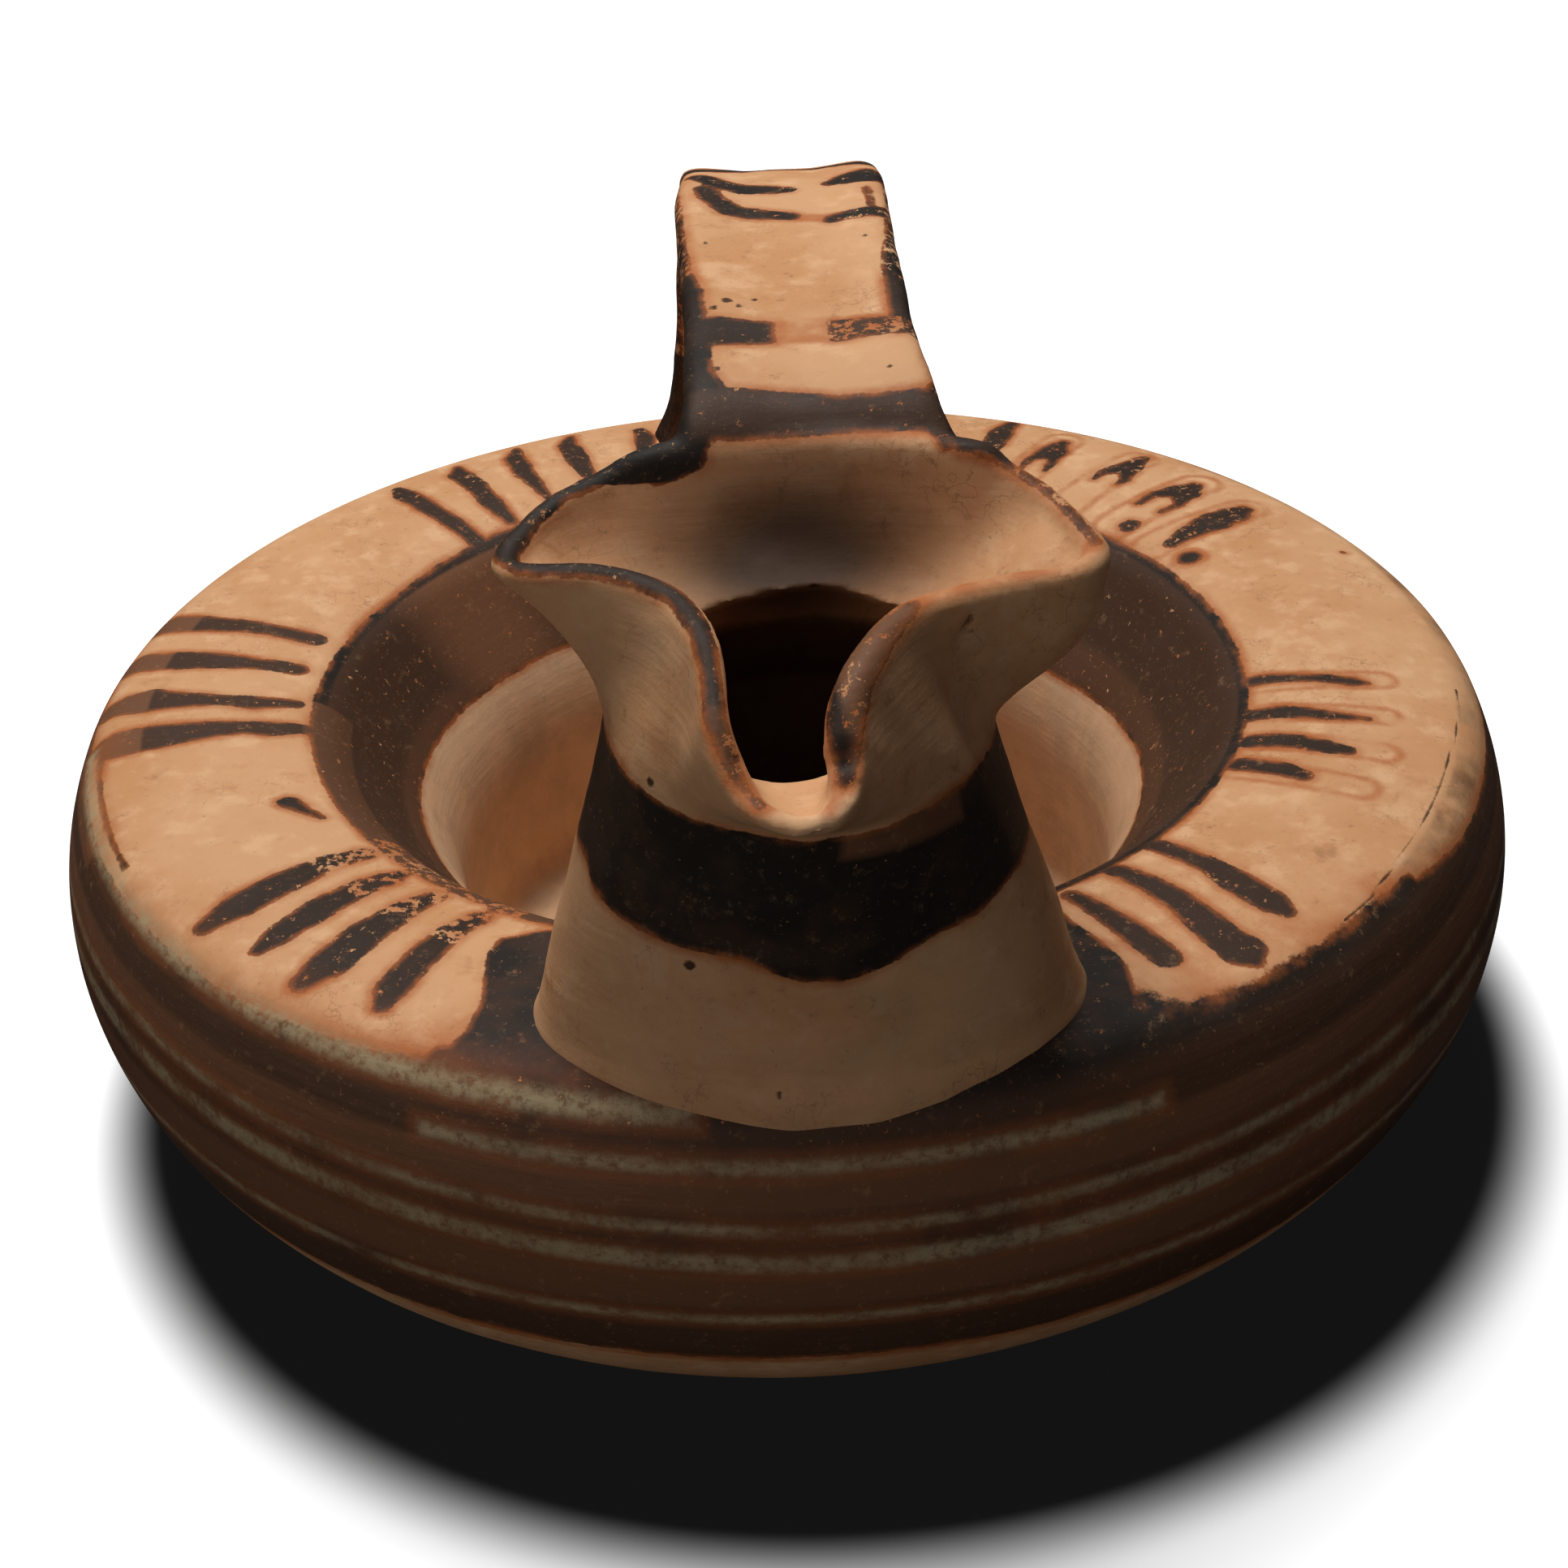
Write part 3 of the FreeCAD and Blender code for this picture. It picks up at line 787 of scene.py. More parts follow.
# Each fan with how worn and how brown its strokes are
FANS = (
    (FRONT_LEFT_STROKES, 0.34, 0.10), (LEFT_STROKES, 0.30, 0.25), (BACK_LEFT_STROKES, 0.36, 0.15),
    (BACK_RIGHT_STROKES, 0.44, 0.10), (RIGHT_STROKES, 0.34, 0.10), (FRONT_RIGHT_STROKES, 0.34, 0.15),
)
# Strokes whose slip has gone and left an orange outline: angle and reach, then full width
GHOST_ARCHES = (
    ((-29.7, 64.0), 5.0), ((-23.1, 64.6), 4.6), ((-16.6, 63.9), 4.4), ((-9.9, 63.7), 4.6),
    ((28.9, 66.5), 6.4), ((36.5, 67.5), 6.6), ((45.2, 68.0), 6.2), ((54.5, 68.0), 6.2),
)
GHOST_FOOT_RADIUS = 50.0
GHOST_BRUSH = 0.75

# Edges of the dark ring round the well, of the dark apron at the neck's foot and of the wall's bands
INNER_EDGE = ((0, 48.3), (25, 48.4), (60, 48.2), (100, 48.7), (130, 49.0), (150, 48.2), (184, 48.7),
              (215, 49.0), (245, 49.4), (300, 48.9), (340, 48.5))
APRON_LEFT = ((47, 244.6), (49.5, 244), (53.5, 239.8), (56, 240.4), (59, 241.9), (62, 243.4), (66, 244),
              (69, 243.4), (71, 243.2), (76, 243.0))
APRON_RIGHT = ((47, 296.4), (52, 296), (55, 295.7), (58, 296.1), (62, 295.9), (66, 294.5), (70, 291.5),
               (76, 291.0))
WALL_TOP = ((0, 2.9), (30, 2.3), (60, 1.6), (120, 1.6), (180, 1.6), (200, 1.7), (225, 1.6), (240, 1.0),
            (250, -1.0), (290, -1.0), (298, 0.4), (318, 0.6), (330, 2.4), (345, 2.9))
WALL_FOOT = ((0, 26.8), (120, 26.2), (230, 26.6), (270, 26.9), (300, 27.3), (345, 26.8))
UPPER_LINE = ((0, 10.7), (150, 9.4), (215, 9.3), (245, 10.1), (270, 10.9), (310, 10.7), (345, 10.6))
MIDDLE_LINE = ((0, 13.9), (150, 12.6), (215, 12.5), (245, 13.4), (270, 14.1), (310, 14.1), (345, 13.9))
LOWER_LINE = ((0, 20.4), (150, 19.8), (215, 19.8), (250, 20.3), (280, 20.5), (320, 20.4))
WELL_BAND_FOOT = ((0, 15.0), (30, 16.7), (80, 15.6), (132, 14.5), (180, 14.0), (230, 14.4), (300, 15.0))
# Pale lines on the wall: how far down, half the width and the angles they run between. The first row, along
# the shoulder's left and front-left, is partly a worn pale edge and partly a painted highlight.
ALL_ROUND = (-9.0, 369.0)
PALE_LINES_AND_HIGHLIGHT = (
    (((0, 1.7),), 0.7, 186.0, 262.0), (((0, 5.4),), 0.55, 243.0, 293.0), (UPPER_LINE, 0.45, *ALL_ROUND),
    (MIDDLE_LINE, 0.85, *ALL_ROUND), (LOWER_LINE, 0.5, *ALL_ROUND),
)
# Browner belts of the wall: how far down each fades in and fades out
BROWN_BELTS = ((5.6, 6.6, 9.0, 9.8), (14.4, 15.4, 18.4, 19.4))
# Slip left along the top's outer edge, and worn or browned patches: radii and angles between
EDGE_LINES = ((69.5, 99.0, 290.0, 322.0), (69.15, 69.85, 186.0, 206.0))
TOP_PATCHES = ((Layer.WEAR, 0.62, 0.0, 56.0, 214.0, 239.0), (Layer.BROWN, 0.9, 65.5, 99.0, 150.0, 200.0))
BROWNED_INNER_EDGE = (180.0, 245.0)
# A short dash, dabs of slip and the hairline seam on top: angle, radius and size
DASH = ((203.9, 52.8, 2.4), (208.0, 51.0, 1.0))
BLOT = (23.2, 51.2, 2.2)
DABS = ((23.2, 51.2, 1.5), (16.5, 66.7, 0.5), (236, 48.6, 1.3), (243.6, 69.5, 1.6))
SEAM = ((-47, 69, 0.22), (-43, 68.9, 0.22), (-33, 68.4, 0.22), (-27, 68.1, 0.22), (-20, 68.4, 0.22),
        (-15, 68.9, 0.22), (-10, 69, 0.22))
# Soil that lies along the seam: the radii and the angles between, over the turn's end
SOILED_RADII = (68.7, 71.4)
SOILED_ANGLES = (315.0, 60.0)
# Where the well's band is so thin that it looks brown: angles it fades in and out at
THIN_BAND = (118.0, 138.0, 144.0, 162.0)


@dataclass
class RingBody:
    """The hollow ring: a wheel-turned wall, a closed top and the well in its middle.

    Radii are from the ring's axis and heights from the table, in millimetres.
    """

    belly_radius: float
    belly_height: float = 29.0
    shoulder_inset: float = 4.5
    shoulder_height: float = 44.3
    shoulder_round: float = 2.6
    underside_inset: float = 33.0
    top_width: float = 23.1
    top_crown: float = 1.1
    well_edge_height: float = 43.9
    well_edge_round: float = 3.0
    well_slope_width: float = 12.4
    well_bend_height: float = 28.2
    well_bend_round: float = 7.0
    floor_height: float = 6.0
    floor_round: float = 2.4
    wall_joint_height: float = 36.0
    well_joint_share: float = 0.42
    columns: int = 900
    top_step: float = 0.44
    wall_step: float = 0.62
    well_step: float = 0.868
    floor_step: float = 2.4
    underside_points: int = 60
    belly_points: int = 12
    shoulder_points: int = 20
    crown_points: int = 41
    unevenness: float = 0.34
    seed: float = 1.0
    wall_brown: float = 0.42
    belt_brown: float = 0.55
    brown_fade: tuple[float, float] = (0.8, 3.0)
    wall_wear: float = 0.16
    edge_wear: float = 0.26
    edge_reach: float = 1.0
    inner_brown: float = 0.6
    browned_reach: float = 0.6
    seam_soil: float = 0.8
    halo_half_width: float = 0.5
    band_overlap: float = 1.0
    band_reach: float = 30.0
    band_wear: float = 0.30
    band_brown: float = 0.28
    band_brown_below: float = 0.5
    band_brown_fade: tuple[float, float] = (9.5, 12.0)
    thin_band_brown: float = 0.95
    soil_drop: float = 8.0
    well_dirt: float = 0.50
    # How strongly painted light makes the well's deep part paler
    well_painted_light: float = 0.30

    @property
    def shoulder_radius(self) -> float:
        """Where the top meets the wall."""
        return self.belly_radius - self.shoulder_inset

    @property
    def well_edge_radius(self) -> float:
        """Where the top meets the well."""
        return self.shoulder_radius - self.top_width

    @property
    def well_foot_radius(self) -> float:
        """Where the well's wall stands upright."""
        return self.well_edge_radius - self.well_slope_width

    def wall_radius(self, height: float) -> float:
        """The outer wall's radius.

        Args:
            height: A height over the table.

        Returns:
            The radius there.
        """
        if height <= self.belly_height:
            drop = (self.belly_height - height) / self.belly_height
            return self.belly_radius - self.underside_inset * (1 - math.sqrt(max(1 - drop ** 2, 0.0)))
        rise = self.shoulder_height - self.belly_height
        round_radius = (rise ** 2 + self.shoulder_inset ** 2) / (2 * self.shoulder_inset)
        reach = math.sqrt(round_radius ** 2 - (height - self.belly_height) ** 2)
        return self.belly_radius - round_radius + reach

    def wall_profile(self) -> list[tuple[float, float]]:
        """The underside and the wall.

        Returns:
            Radii and heights, from the underside's middle to the shoulder's joint.
        """
        foot_radius = self.belly_radius - self.underside_inset
        underside = spaced([(0.0, 0.0), (foot_radius, 0.0)], self.floor_step)
        turns = np.linspace(math.pi / 2, 0.0, self.underside_points)[1:]
        lower = [(foot_radius + self.underside_inset * math.cos(turn),
                  self.belly_height * (1 - math.sin(turn))) for turn in turns]
        heights = np.linspace(self.belly_height, self.wall_joint_height, self.belly_points)[1:]
        upper = [(self.wall_radius(height), height) for height in heights]
        return underside[:-1] + spaced([underside[-1], *lower, *upper], self.wall_step)

    def top_profile(self) -> list[tuple[float, float]]:
        """The shoulder, the closed top and the well's lip.

        Returns:
            Radii and heights, from one joint to the other.
        """
        shoulder = np.array([self.shoulder_radius, self.shoulder_height])
        edge = np.array([self.well_edge_radius, self.well_edge_height])
        round_foot = self.shoulder_height - self.shoulder_round
        heights = np.linspace(self.wall_joint_height, round_foot, self.shoulder_points)
        wall = [(self.wall_radius(height), height) for height in heights]
        share = np.linspace(0.0, 1.0, self.crown_points)[:, None]
        top = shoulder + (edge - shoulder) * share
        top[:, 1] += self.top_crown * 4 * (share * (1 - share))[:, 0]
        inner = np.linalg.norm(top - shoulder, axis=1) > self.shoulder_round
        inner &= np.linalg.norm(top - edge, axis=1) > self.well_edge_round
        bend = np.array([self.well_foot_radius, self.well_bend_height])
        joint = edge + (bend - edge) * self.well_joint_share
        outline = [
            *wall,
            *rounded_corner(np.array(wall[-1]), shoulder, top[inner][0], self.shoulder_round),
            *top[inner],
            *rounded_corner(top[inner][-1], edge, bend, self.well_edge_round),
            joint,
        ]
        return spaced([tuple(place) for place in outline], self.top_step)

    def well_profile(self) -> list[tuple[float, float]]:
        """The well's slope, its upright foot and its floor.

        Returns:
            Radii and heights, from the joint to the axis.
        """
        edge = np.array([self.well_edge_radius, self.well_edge_height])
        bend = np.array([self.well_foot_radius, self.well_bend_height])
        foot = np.array([self.well_foot_radius, self.floor_height])
        axis = np.array([0.0, self.floor_height])
        outline = [
            edge + (bend - edge) * self.well_joint_share,
            *rounded_corner(edge, bend, foot, self.well_bend_round),
            *rounded_corner(bend, foot, axis, self.floor_round),
        ]
        slope = spaced([tuple(place) for place in outline], self.well_step)
        return slope[:-1] + spaced([slope[-1], (0.0, self.floor_height)], self.floor_step)

    def turn(self, name: str, profile: Sequence[tuple[float, float]],
             finish: bpy.types.Material) -> bpy.types.Object:
        """Turns a profile on the lathe.

        Args:
            name: The piece's name.
            profile: Radius and height of each place on the skin.
            finish: The piece's material.

        Returns:
            The piece as a plain mesh.
        """
        outline = np.array([(radius, 0.0, height) for radius, height in profile])
        guide = make_mesh(name + "_profile", outline, [])
        piece = make_mesh(name, np.zeros((1, 3)), [])
        modifier = piece.modifiers.new("turned clay", "NODES")
        modifier.node_group = self.lathe
        items = self.lathe.interface.items_tree
        sockets = {item.name: item.identifier for item in items if item.in_out == "INPUT"}
        values = {"Profile": guide, "Columns": self.columns, "Rows": len(profile),
                  "Unevenness": self.unevenness, "Seed": self.seed, "Finish": finish}
        for socket, value in values.items():
            modifier[sockets[socket]] = value
        bake(piece)
        bpy.data.objects.remove(guide)
        return piece

    def build(self, finish: bpy.types.Material) -> list[bpy.types.Object]:
        """Makes and paints the ring.

        Args:
            finish: The ring's material.

        Returns:
            The wall, the top and the well.
        """
        self.lathe = lathe_tree()
        wall = self.turn("ring_wall", self.wall_profile(), finish)
        top = self.turn("ring_top", self.top_profile(), finish)
        well = self.turn("ring_well", self.well_profile(), finish)
        for piece in (wall, top, well):
            self.paint(piece)
        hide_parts("outer_bowl")
        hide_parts("shoulder_plate", "shoulder_coil")
        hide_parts("well_wall", "well_floor")
        return [wall, top, well]

    def paint(self, piece: bpy.types.Object) -> None:
        """Paints the wall's bands, the strokes on top and the band in the well.

        Args:
            piece: The wall, the top or the well.
        """
        painting = Painting(piece)
        places = painting.places
        radius = np.hypot(places[:, 0], places[:, 1])
        angle = np.degrees(np.arctan2(places[:, 1], places[:, 0])) % TURN
        drop = self.shoulder_height + self.top_crown / 2 - places[:, 2]
        outside = radius > (self.shoulder_radius + self.well_edge_radius) / 2
        self.paint_wall(painting, angle, drop, outside)
        self.paint_top(painting, angle, radius, places)
        self.paint_well(painting, angle, radius, places, ~outside)
        painting.store()

    def paint_wall(self, painting: Painting, angle: np.ndarray, drop: np.ndarray,
                   outside: np.ndarray) -> None:
        """Bands that run round the wall under the shoulder.

        Args:
            painting: The piece's layers.
            angle: Each vertex's angle round the axis.
            drop: How far it lies under the top.
            outside: Whether it is on the outer half.
        """
        def at(table: Table) -> np.ndarray:
            """The table's value at each vertex's angle."""
            return looked_up(angle, table, period=TURN)

        top, foot = at(WALL_TOP), at(WALL_FOOT)
        painting.cover(Layer.SLIP, np.where(outside, np.minimum(drop - top, foot - drop), FAR))
        belts = sum(ease(drop, *belt[:2]) * (1 - ease(drop, *belt[2:])) for belt in BROWN_BELTS)
        brown = (self.wall_brown + belts * self.belt_brown) * ease(drop, *self.brown_fade)
        painting.tint(Layer.BROWN, np.where(outside, brown, 0.0))
        painting.tint(Layer.WEAR, np.where(outside, self.wall_wear, 0.0))
        for table, half_width, start, end in PALE_LINES_AND_HIGHLIGHT:
            line = np.minimum(half_width - np.abs(drop - at(table)), np.minimum(angle - start, end - angle))
            painting.cover(Layer.PALE_AND_HIGHLIGHT, np.where(outside, line, FAR))
        halo = self.halo_half_width - np.abs(drop - foot - self.halo_half_width)
        painting.cover(Layer.GHOST, np.where(outside, halo, FAR))

    def paint_top(self, painting: Painting, angle: np.ndarray, radius: np.ndarray,
                  places: np.ndarray) -> None:
        """Fans of strokes, the dark apron round the neck's foot and the ring's two edge lines.

        Args:
            painting: The piece's layers.
            angle: Each vertex's angle round the axis.
            radius: How far it is from the axis.
            places: Where it is.
        """
        flat = places[:, :2]
        top = places[:, 2] > self.well_edge_height - self.well_edge_round
        near = np.where(top, 0.0, FAR)

        def drawn(stroke: Table) -> np.ndarray:
            """How deep each vertex lies in a stroke of angles, radii and widths."""
            line = np.array([polar(turn, out) for turn, out, _ in stroke])
            return stroke_depth(flat, line, np.array([width for *_, width in stroke])) + near

        for strokes, wear, brown in FANS:
            depth = np.maximum.reduce([drawn(stroke) for stroke in strokes])
            painting.brush(depth, wear, brown, FAN_SOFT)
        for layer, amount, inner, outer, start, end in TOP_PATCHES:
            within = (radius > inner) & (radius < outer) & (angle > start) & (angle < end)
            painting.tint(layer, np.where(within & top, amount, 0.0))

        for (turn, reach), width in GHOST_ARCHES:
            inside = drawn(((turn, GHOST_FOOT_RADIUS, width), (turn, reach - width / 2, width)))
            painting.cover(Layer.GHOST, GHOST_BRUSH / 2 - np.abs(inside - GHOST_BRUSH) + near)

        inner = looked_up(angle, INNER_EDGE, period=TURN) - radius
        apron_left, apron_right = looked_up(radius, APRON_LEFT), looked_up(radius, APRON_RIGHT)
        apron = np.minimum(angle - apron_left, apron_right - angle) * np.radians(radius)
        painting.cover(Layer.SLIP, np.maximum(inner, apron) + near)
        for nearest, farthest, start, end in EDGE_LINES:
            between = np.minimum(angle - start, end - angle) * np.radians(radius)
            line = np.minimum(np.minimum(radius - nearest, farthest - radius), between)
            painting.cover(Layer.SLIP, line + near)
        start, end = BROWNED_INNER_EDGE
        browned = (inner > -self.browned_reach) & (angle > start) & (angle < end)
        painting.tint(Layer.BROWN, np.where(top & browned, self.inner_brown, 0.0))
        at_edge = (apron > -self.edge_reach) | (inner > -self.edge_reach)
        painting.tint(Layer.WEAR, np.where(top & at_edge, self.edge_wear, 0.0))

        painting.cover(Layer.SLIP, drawn(DASH))
        painting.cover(Layer.CRACK, drawn(SEAM))
        painting.cover(Layer.GHOST, dab_depth(flat, polar(*BLOT[:2]), BLOT[2]) + near)
        for turn, out, size in DABS:
            painting.cover(Layer.SLIP, dab_depth(flat, polar(turn, out), size) + near)
        strip = np.minimum(radius - SOILED_RADII[0], SOILED_RADII[1] - radius)
        strip = np.where((angle > SOILED_ANGLES[0]) | (angle < SOILED_ANGLES[1]), strip, FAR)
        painting.tint(Layer.DIRT_AND_SHADE, np.where(top, ease(strip, *SOIL_SOFT) * self.seam_soil, 0.0))

    def paint_well(self, painting: Painting, angle: np.ndarray, radius: np.ndarray, places: np.ndarray,
                   inside: np.ndarray) -> None:
        """The dark band under the well's edge, the soil on its slope and floor, and painted light that makes
        them paler.

        Args:
            painting: The piece's layers.
            angle: Each vertex's angle round the axis.
            radius: How far it is from the axis.
            places: Where it is.
            inside: Whether it is on the inner half.
        """
        edge_drop = self.well_edge_height - places[:, 2]
        slope_height = self.well_edge_height - self.well_bend_height
        down = edge_drop * math.hypot(self.well_slope_width, slope_height) / slope_height
        band = np.where(inside & (radius < self.well_edge_radius), self.band_reach, FAR)
        foot = looked_up(angle, WELL_BAND_FOOT, period=TURN)
        depth = np.minimum(band, np.minimum(down + self.band_overlap, foot - down))
        painting.cover(Layer.SLIP, depth)
        within = ease(depth, *BAND_SOFT)
        painting.tint(Layer.WEAR, within * self.band_wear)
        thin = ease(angle, *THIN_BAND[:2]) * (1 - ease(angle, *THIN_BAND[2:])) * self.thin_band_brown
        lower = np.maximum(ease(down, *self.band_brown_fade) * self.band_brown_below, self.band_brown)
        painting.tint(Layer.BROWN, within * np.maximum(thin, lower))
        deep = inside & (edge_drop > self.soil_drop)
        painting.tint(Layer.DIRT_AND_SHADE, np.where(deep, self.well_dirt, 0.0))
        # Painted light: the well's deep part is made paler
        painting.tint(Layer.PAINTED_LIGHT, np.where(deep, self.well_painted_light, 0.0))


# Neck, mouth and handle

# The rim's middle line from beside the lip to the wing's tip and on to the back: across, forward of
# the neck's axis and height, then the rim's thickness
LIP_PLACE = (-1.3, 22.9, 76.9, 2.0)
LEFT_RIM = (
    (-3.6, 21.8, 77.4, 2.2), (-5.1, 19.7, 78.4, 2.5), (-6.4, 16.7, 81.3, 2.4), (-6.6, 12.4, 83.0, 2.4),
    (-7.3, 8.0, 84.0, 2.8), (-9.0, 3.6, 84.5, 2.8), (-12.0, 0.9, 84.9, 2.8), (-16.0, -0.9, 85.0, 2.7),
    (-20.3, -1.8, 84.9, 2.6), (-21.9, -4.4, 84.9, 2.6), (-20.1, -8.4, 85.6, 2.4), (-17.7, -11.4, 86.3, 2.4),
    (-13.9, -13.2, 87.3, 2.6), (-10.0, -13.8, 88.6, 3.0),
)
BACK_PLACE = (1.2, -14.0, 89.0, 3.4)
RIGHT_RIM = (
    (1.0, 22.6, 77.1, 2.0), (2.3, 20.4, 78.4, 2.6), (2.6, 17.2, 81.2, 3.3), (3.6, 14.3, 82.9, 3.2),
    (5.5, 10.6, 83.8, 3.0), (8.4, 6.6, 84.1, 2.8), (12.6, 4.4, 84.2, 2.6), (17.2, 3.0, 84.3, 2.6),
    (21.2, 1.9, 84.4, 2.6), (22.9, -0.6, 84.8, 2.6), (21.7, -4.3, 85.6, 2.4), (19.8, -8.2, 86.3, 2.4),
    (17.2, -10.8, 87.3, 2.6), (14.2, -11.8, 88.6, 3.0),
)
# The crease where the bowl breaks down into the throat, for half the stations: across, forward, height
CREASE = (
    (0.0, 14.4, 75.6), (1.5, 14.2, 75.7), (2.9, 13.6, 75.8), (4.1, 12.6, 75.9), (4.8, 11.0, 76.1),
    (5.2, 9.4, 76.4), (5.8, 7.8, 76.8), (6.8, 6.2, 77.4), (8.2, 4.8, 78.0), (9.6, 3.4, 78.5),
    (10.4, 2.2, 78.9), (10.8, 0.4, 79.3), (10.4, -1.4, 79.6), (8.7, -3.2, 79.9), (5.5, -4.8, 80.3),
    (1.5, -5.6, 81.0),
)
# How far round the waist each station leaves it, in half turns
WAIST_TURNS = (
    0.0, 0.09, 0.17, 0.215, 0.25, 0.31, 0.37, 0.43, 0.485, 0.54, 0.60, 0.68, 0.75, 0.815, 0.905, 1.0,
)
NECK_FLARE = ((0.0, 0.0), (0.22, 0.18), (0.48, 0.45), (0.74, 0.755), (1.0, 1.0))
# The fillet at the neck's foot: height over the ring's top and how far it stands out
FOOT_FILLET = ((-4.0, 0.5), (-0.7, 0.5), (0.2, 0.35), (1.0, 0.1), (2.0, 0.0))
# How much higher than in front the waist sits round the neck: turn from the front, lift
WAIST_LIFT = ((-180, 4.0), (-90, 2.9), (-45, 1.3), (0, 0.0), (45, 0.7), (90, 1.4), (180, 4.0))

# The strap's face from the mouth over the well to the far side of the ring: distance behind the
# ring's axis, height, left edge, right edge, thickness and how far its corners stand up
STRAP_STATIONS = (
    (-47, 79, -15, 17, 3, 0), (-46.4, 82, -16.5, 18.5, 4, 0), (-45.9, 85, -15, 17.6, 5, 0.2),
    (-45.5, 87.4, -11.2, 15.8, 5.4, 0.6), (-45, 89.5, -9, 14.2, 5.4, 1), (-42.6, 91.8, -8.1, 13.1, 5.4, 1.1),
    (-38.5, 93.1, -7.7, 12.5, 5.4, 1.2), (-33, 93.8, -7.6, 12, 5.4, 1.2), (-27, 94.4, -7.5, 11.9, 5.4, 1.2),
    (-21, 94.7, -7.5, 11.9, 5.4, 1.2), (-15, 95, -7.6, 11.9, 5.4, 1.3), (-8, 95.2, -7.8, 12, 5.4, 1.4),
    (0, 95.2, -7.9, 12.2, 5.4, 1.5), (6, 94.7, -7.5, 12.3, 5.4, 1.6), (14.9, 92.7, -7.4, 12.2, 5.4, 1.6),
    (25.2, 88.8, -7.6, 12, 5.4, 1.2), (36.3, 82.2, -8, 11.8, 5.4, 0.8), (46.3, 73.3, -8.6, 11.4, 5.4, 0.5),
    (54.3, 62.7, -9.3, 11, 5.6, 0.3), (60, 52.4, -10.6, 11.2, 7.4, 0.1), (63.6, 46.4, -13, 13, 12, 0),
    (65, 43, -14.4, 14.4, 14.4, 0),
)

# Paint: the neck band's lower edge round the neck, from its left to its right
NECK_BAND_FOOT = (
    (-110, 63.6), (-75, 63.2), (-70, 61.8), (-60, 60.7), (-50, 60.1), (-40, 59.7), (-30, 59.4), (-22, 59.2),
    (-17, 58.7), (-12, 57.9), (-5, 57.3), (8, 57.0), (15, 57.3), (20, 57.7), (30, 58.9), (35, 59.4),
    (40, 59.7), (50, 60.1), (60, 61.0), (65, 61.5), (72, 61.8), (80, 62.0), (110, 63.0),
)
# Bars across the strap's face: place across, then the near and the far edge along the face
FIRST_BAR = ((-7.5, 5.4, 10.6), (-3.3, 5.3, 10.4), (4.5, 5.3, 9.0), (11.4, 5.2, 9.2), (13.4, 2.6, 9.6))
SECOND_BAR = ((-7.6, 16.6, 22.0), (-4.6, 16.6, 22.0), (0.2, 16.9, 21.0))
SECOND_BAR_WORN = ((4.5, 16.9, 20.6), (8.8, 17.0, 20.4), (11.9, 17.0, 20.4))
NEAR_WAVE = ((-4.9, 52.0, 2.4), (-4.4, 49.4, 2.8), (-2.6, 46.1, 3.0), (0.2, 44.7, 2.6), (2.8, 44.1, 2.0))
FAR_WAVE = ((-5.3, 56.5, 3.2), (-3.3, 54.0, 3.4), (-1.2, 52.5, 3.2), (1.3, 52.0, 3.0), (2.7, 52.0, 2.2))
CREST_LINE = ((-7.2, 62.0, 3.2), (-2.0, 64.5, 2.8), (2.5, 65.0, 2.6), (7.5, 63.0, 3.0), (11.6, 61.0, 4.4))
NEAR_DASH = ((6.6, 42.8, 2.2), (11.3, 43.0, 2.8))
FAR_DASH = ((7.2, 53.0, 2.4), (8.6, 53.6, 4.0), (10.6, 54.0, 4.8))
THIN_LINE = ((10.1, 49.6, 1.0), (10.2, 45.0, 0.9))
LEFT_EDGE_WIDTH = ((-4.0, 1.8), (10.0, 3.9), (12.5, 2.6), (27.0, 2.0), (32.0, 1.0), (48.0, 0.8), (60.0, 0.2),
                   (160.0, 1.2))
RIGHT_EDGE_WIDTH = ((-4.0, 0.4), (3.3, 1.0), (9.0, 1.6), (10.5, 0.2), (16.6, 0.2), (18.0, 2.3), (30.0, 2.1),
                    (38.0, 1.2), (45.0, 0.6), (60.0, 0.3), (160.0, 1.2))
# The bars with how worn and how brown they are, and the strokes on the strap's face with their wear
BARS = ((FIRST_BAR, 0.32, 0.25), (SECOND_BAR, 0.26, 0.1), (SECOND_BAR_WORN, 0.60, 0.3))
FACE_STROKES = (
    (NEAR_WAVE, 0.28), (FAR_WAVE, 0.36), (CREST_LINE, 0.34), (NEAR_DASH, 0.52), (FAR_DASH, 0.36),
    (THIN_LINE, 0.4), (((13.4, 2.6, 1.6), (14.6, 0.8, 0.8)), 0.0),
)
# Bare outlines where slip has gone from the face: across from and to, along from and to
FACE_WASH = (0.1, 9.0, 16.8, 21.0)
FACE_GHOST = ((2.8, 44.0, 1.8), (6.6, 43.0, 2.0))
# The lump of slip where the strap's left edge meets the wing: place and full width
LUMP = ((-12.0, -45.2, 88.8, 2.2), (-10.0, -45.6, 88.9, 3.4), (-7.6, -45.3, 89.8, 3.6))
# Paint along the rim: whether it is the right side, the first station from the lip, full widths at
# the stations, wear and brown
RIM_RUNS = (
    (False, 3, (1.8, 1.9, 2.0, 2.2, 2.3), 0.34, 0.10), (False, 7, (2.3, 2.3, 2.4, 2.6, 2.2), 0.34, 0.05),
    (False, 11, (2.0, 2.0, 2.6, 3.6), 0.30, 0.0), (False, 1, (1.0, 1.4, 1.8), 0.50, 0.6),
    (True, 2, (2.0, 3.4, 3.6, 3.0, 1.4), 0.44, 0.0), (True, 10, (1.3, 1.0, 1.2, 1.8), 0.50, 0.1),
    (True, 13, (1.6, 2.6), 0.30, 0.0),
)
